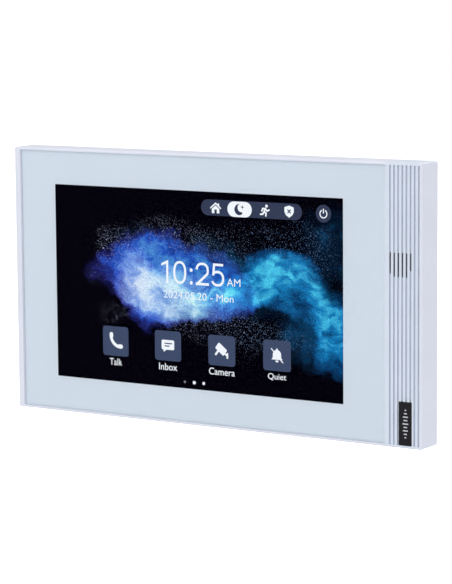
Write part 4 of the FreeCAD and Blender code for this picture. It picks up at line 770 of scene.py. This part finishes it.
def runner(x, z):
    """Pictogram of someone on the way out, from a disc and strokes."""
    joints = [((0.35, 0.95), (-0.35, -0.5)), ((-0.35, -0.5), (0.75, -1.15)), ((0.75, -1.15), (0.55, -2.3)),
              ((-0.35, -0.5), (-1.0, -1.6)), ((-1.0, -1.6), (-2.2, -1.7)), ((0.3, 0.8), (1.2, -0.1)),
              ((1.2, -0.1), (2.2, 0.3)), ((0.2, 0.8), (-1.0, 0.9)), ((-1.0, 0.9), (-1.5, -0.2))]
    strokes = [[moved(bar(a, b, 0.75), x, z)] for a, b in joints]
    return [[disc(x + 0.95, z + 2.05, 0.68)]] + strokes


def shield(x, z):
    """Shield with a cross cut out of it."""
    outline = [(x, z + 2.7), (x + 2.4, z + 1.9), (x + 2.4, z - 0.2), (x + 1.6, z - 1.6), (x, z - 2.65),
               (x - 1.6, z - 1.6), (x - 2.4, z - 0.2), (x - 2.4, z + 1.9)]
    arm, wide = 1.15, 0.27
    plus = [(wide, wide), (arm, wide), (arm, -wide), (wide, -wide), (wide, -arm), (-wide, -arm),
            (-wide, -wide), (-arm, -wide), (-arm, wide), (-wide, wide), (-wide, arm), (wide, arm)]
    return [[outline, moved(plus, x, z + 0.1, 45)]]


def power_symbol(x, z):
    return [[band(x, z - 0.1, 1.75, 0.5, 125, 415)], [bar((x, z + 0.3), (x, z + 1.95), 0.5)]]


def screen_icons():
    shapes = handset(TILE_XS[0], TILE_Z) + bubble(TILE_XS[1], TILE_Z) + camera(TILE_XS[2], TILE_Z)
    shapes += bell(TILE_XS[3], TILE_Z) + house(STATUS_XS[0], STATUS_Z - 0.2)
    shapes += runner(STATUS_XS[2], STATUS_Z - 0.1) + shield(STATUS_XS[3], STATUS_Z) + power_symbol(*POWER_AT)
    shapes += [[disc(-0.7, -42.15, 0.8)], [disc(4.4, -42.1, 0.72)]]
    slab_piece("screen_icons", shapes, layer("icons"), WHITE_LIGHT)
    slab_piece("status_chosen", [[rounded(STATUS_XS[1], STATUS_Z - 0.2, 12.8, 6.9, 3.4)]],
               layer("chosen"), WHITE_LIGHT)
    slab_piece("status_moon", crescent(STATUS_XS[1], STATUS_Z - 0.2), layer("icons"), DARK_LIGHT)
    slab_piece("page_dot", [[disc(-5.85, -42.2, 0.6)]], layer("icons"), DIM_LIGHT)


def clock_digit(digit, left, low, wide, high, t):
    """0, 1, 2 or 5 in even strokes t wide, as shapes in a box wide by high."""
    mid, top = left + wide / 2, low + high
    if digit == "0":
        return [[oval(mid, low + high / 2, wide / 2, high / 2)[:-1],
                 oval(mid, low + high / 2, wide / 2 - t, high / 2 - t * 0.92)[:-1][::-1]]]
    if digit == "1":
        x, tip = left + wide * 0.62, left + wide * 0.14
        return [[[(x, low), (x + t, low), (x + t, top), (x + t * 0.7, top), (tip, top - high * 0.145),
                  (tip, top - high * 0.255), (x, top - high * 0.15)]]]
    r = (wide - t) / 2
    if digit == "2":
        bow = oval(mid, top - t / 2 - high * 0.29, r, high * 0.29, 176, -28, 30)
        return [[stroke(bow + [(left + t * 0.62, low + t * 0.4)], t)],
                [[(left, low), (left + wide, low), (left + wide, low + t), (left, low + t)]]]
    bowl = oval(mid - wide * 0.03, low + t / 2 + high * 0.29, r, high * 0.29, 142, -158, 34)
    flag_left, flag_right = left + wide * 0.14, left + wide * 0.9
    flag = [(flag_right, top), (flag_right, top - t), (flag_left, top - t), (flag_left, top)]
    neck = [(flag_left + t * 0.55, top), (left + wide * 0.06 + t * 0.55, low + high * 0.47)]
    return [[stroke(bowl, t)], [flag], [stroke(neck, t)]]


def screen_clock():
    low, high, t = 2.65, 10.35, 1.12
    shapes = []
    for digit, left, wide in (("1", -18.9, 5.6), ("0", -11.6, 7.1), ("2", 0.6, 7.1), ("5", 9.0, 7.1)):
        shapes += clock_digit(digit, left, low, wide, high, t)
    shapes += [[disc(-1.85, z, 0.8)] for z in (low + 0.8, low + 6.6)]
    slab_piece("screen_clock", shapes, layer("icons"), WHITE_LIGHT)


def screen_words():
    lines = [("AM", 17.3, 24.5, 3.2, 6.6, 0.0),
             ("2024.05.20 - Mon", -17.0, 20.8, -4.2, -0.85, -0.002)]
    for x, (word, half) in zip(TILE_XS, TILE_NAMES):
        lines.append((word, x - half, x + half, -37.6, -34.4, 0.004))
    text_piece("screen_words", lines, layer("icons"), WHITE_LIGHT)


printed_border()
coated_edge()
screen_picture()
screen_tiles()
screen_icons()
screen_clock()
screen_words()


# ---------------------------------------------------------------------------------------------------------
# Mark on the inlay: plain sound bars, no lettering
# ---------------------------------------------------------------------------------------------------------

def badge_mark():
    pitch, thick = 1.5, 0.55
    lengths = (0.9, 1.6, 2.5, 1.8, 2.9, 2.0, 2.6, 1.5, 0.9)
    middle = len(lengths) // 2
    bars = [[rounded(0.1, (i - middle) * pitch, length, thick, 0.26)] for i, length in enumerate(lengths)]
    centre = (BADGE_LOW + BADGE_HIGH) / 2
    slab_piece("badge_mark", bars, (BADGE_LOW.y - 0.012 * MM, BADGE_LOW.y - 0.002 * MM),
               moulded_plastic("pale_ink", srgb(196, 198, 204), 0.5), centre)


badge_mark()

# ---------------------------------------------------------------------------------------------------------
# Materials of the CAD nodes
# ---------------------------------------------------------------------------------------------------------

SLOT_MATERIALS = {
    "white_plastic": moulded_plastic("white_plastic", srgb(226, 229, 240), ribbed=True),
    "cover_plastic": moulded_plastic("cover_plastic", srgb(214, 216, 224), 0.5, 0.3 * MM, 0.02 * MM),
    "badge": gloss_plastic("badge", srgb(30, 29, 33), 0.24, 0.15),
    "glass": clear_glass("glass"),
    "screen": gloss_plastic("screen_film", srgb(20, 20, 24), 0.3),
    "bracket_steel": rolled_steel("bracket_steel", srgb(212, 215, 220)),
    "chassis_steel": rolled_steel("chassis_steel", srgb(204, 206, 210), 0.3, 1.8 * MM),
    "stainless": rolled_steel("stainless", srgb(212, 212, 214), 0.26, 0.6 * MM),
    "screws": plated_metal("screws", srgb(176, 178, 182)),
    "foam": soft_rubber("foam", srgb(34, 34, 36)),
    "silicone": soft_rubber("silicone", srgb(120, 124, 132), 0.6),
    "cloth": woven_cloth("cloth", srgb(30, 28, 28)),
    "polyimide": copper_film("polyimide", srgb(188, 120, 40)),
    "films": gloss_plastic("films", srgb(226, 230, 236), 0.2),
    "tray_plastic": moulded_plastic("tray_plastic", srgb(222, 222, 220), 0.5),
    "backlight": gloss_plastic("backlight", srgb(236, 222, 120), 0.3),
    "board": circuit_board("board", srgb(18, 84, 52)),
    "chips": chip_epoxy("chips", srgb(36, 36, 40)),
    "connector_black": moulded_plastic("connector_black", srgb(38, 38, 42), 0.46, 0.2 * MM),
    "connector_white": moulded_plastic("connector_white", srgb(226, 222, 206), 0.44, 0.2 * MM),
    "connector_green": moulded_plastic("connector_green", srgb(30, 132, 62), 0.4, 0.2 * MM),
    "gold": plated_metal("gold", srgb(226, 184, 96), 0.2, 0.12 * MM),
    "ferrite": chip_epoxy("ferrite", srgb(64, 64, 68)),
    "tape_yellow": gloss_plastic("tape_yellow", srgb(214, 176, 52), 0.3),
    "capacitor": plated_metal("capacitor", srgb(200, 204, 210), 0.22),
    "button": gloss_plastic("button", srgb(214, 214, 218), 0.24),
    "cone": gloss_plastic("cone", srgb(48, 48, 52), 0.4),
    "copper": plated_metal("copper", srgb(198, 120, 74), 0.26, 0.1 * MM),
    "magnet": plated_metal("magnet", srgb(184, 186, 190), 0.2),
    "microphone": plated_metal("microphone", srgb(206, 206, 210), 0.24),
    "wire": soft_rubber("wire", srgb(40, 40, 44), 0.5),
    "label": label_film("label", srgb(206, 208, 214), srgb(70, 72, 80)),
}

for entry in frame["record"]["subparts"]:
    node = frame["nodes"][entry["node"]]
    node.data.materials.clear()
    node.data.materials.append(SLOT_MATERIALS[entry["material_slot"]])

# ---------------------------------------------------------------------------------------------------------
# Stage, light and camera
# ---------------------------------------------------------------------------------------------------------

# fitted to the photograph; the angles are in degrees
CAMERA_TURN = 32.86
CAMERA_RISE = 7.45
CAMERA_ROLL = -0.46
CAMERA_DISTANCE = 1.128
CAMERA_LENS = 155.46
TARGET = Vector((GLASS_MIDDLE_X + 16.53 * MM, cad_low.y, 0.52 * MM))

# name, degrees to the right, degrees up, distance, size, watts
SOFTBOXES = (("key_front", -18, 38, 1.6, (1.3, 1.1), 7.5),
             ("right_side", 88, 18, 1.5, (1.2, 1.2), 3.85),
             ("overhead", 10, 82, 1.3, (1.4, 1.2), 5.0),
             ("back_fill", 180, 35, 1.8, (1.4, 1.2), 5.0))

FLOOR_DROP = 0.16
FLOOR_HALF = 6.0


def towards(turn, rise):
    """Unit vector from the object, turn degrees to its right and rise degrees up."""
    t, r = math.radians(turn), math.radians(rise)
    return Vector((math.sin(t) * math.cos(r), -math.cos(t) * math.cos(r), math.sin(r)))


def aimed(name, data, turn, rise, distance, roll=0.0):
    """A camera or light at this distance from the target and pointed at it."""
    made = bpy.data.objects.new(name, data)
    bpy.context.scene.collection.objects.link(made)
    away = towards(turn, rise)
    made.location = TARGET + away * distance
    made.rotation_mode = "QUATERNION"
    made.rotation_quaternion = (-away).to_track_quat("-Z", "Y") @ Quaternion((0, 0, 1), math.radians(roll))
    return made


def add_camera():
    data = bpy.data.cameras.new("camera")
    data.sensor_width = 36.0
    data.lens = CAMERA_LENS
    bpy.context.scene.camera = aimed("camera", data, CAMERA_TURN, CAMERA_RISE, CAMERA_DISTANCE, CAMERA_ROLL)


def add_softbox(name, turn, rise, distance, size, power):
    data = bpy.data.lights.new(name, "AREA")
    data.shape = "RECTANGLE"
    data.size, data.size_y = size
    data.energy = power
    aimed(name, data, turn, rise, distance)


def add_floor():
    """Large pale floor under the object, kept out of mirror reflections and clear when seen from below."""
    half, z = FLOOR_HALF, cad_low.z - FLOOR_DROP
    mesh = bpy.data.meshes.new("floor")
    corners = [(-half, -half, z), (half, -half, z), (half, half, z), (-half, half, z)]
    mesh.from_pydata(corners, [], [(0, 1, 2, 3)])
    s = Shader("pale_floor")
    tone = s.mix(s.noise(0.4, 3.0), srgb(246, 247, 250), srgb(252, 252, 253))
    seen = s.node("LightPath").outputs["Is Camera Ray"]
    glow = s.math("ADD", s.math("MULTIPLY", seen, 0.9), 0.1)
    pale = s.node("BsdfPrincipled", Base_Color=tone, Roughness=0.8, Specular_IOR_Level=0.0,
                  Emission_Color=tone, Emission_Strength=glow)
    clear = s.node("BsdfTransparent", Color=(1, 1, 1))
    below = s.math("MULTIPLY", seen, s.node("NewGeometry").outputs["Backfacing"])
    mesh.materials.append(s.output(mix_shaders(s, below, pale, clear)))
    made = bpy.data.objects.new("floor", mesh)
    made.visible_glossy = False
    bpy.context.scene.collection.objects.link(made)


def add_world():
    """Even pale surround: white to the camera, soft light to surfaces, a little dimmer in mirrors."""
    world = bpy.data.worlds.new("surround")
    world.use_nodes = True
    nodes, links = world.node_tree.nodes, world.node_tree.links
    nodes.clear()
    path = nodes.new("ShaderNodeLightPath")

    def sky(colour, strength):
        made = nodes.new("ShaderNodeBackground")
        made.inputs["Color"].default_value = (*colour, 1.0)
        made.inputs["Strength"].default_value = strength
        return made

    def chosen(ray, otherwise, when_so):
        made = nodes.new("ShaderNodeMixShader")
        links.new(path.outputs[ray], made.inputs[0])
        links.new(otherwise.outputs[0], made.inputs[1])
        links.new(when_so.outputs[0], made.inputs[2])
        return made

    cool = (0.97, 0.98, 1.0)
    lit = chosen("Is Glossy Ray", sky(cool, 0.55), sky(cool, 0.5))
    final = chosen("Is Camera Ray", lit, sky((1.0, 1.0, 1.0), 1.0))
    links.new(final.outputs[0], nodes.new("ShaderNodeOutputWorld").inputs["Surface"])
    bpy.context.scene.world = world


add_camera()
add_floor()
add_world()
for softbox in SOFTBOXES:
    add_softbox(*softbox)
bpy.context.scene.view_settings.view_transform = "Standard"
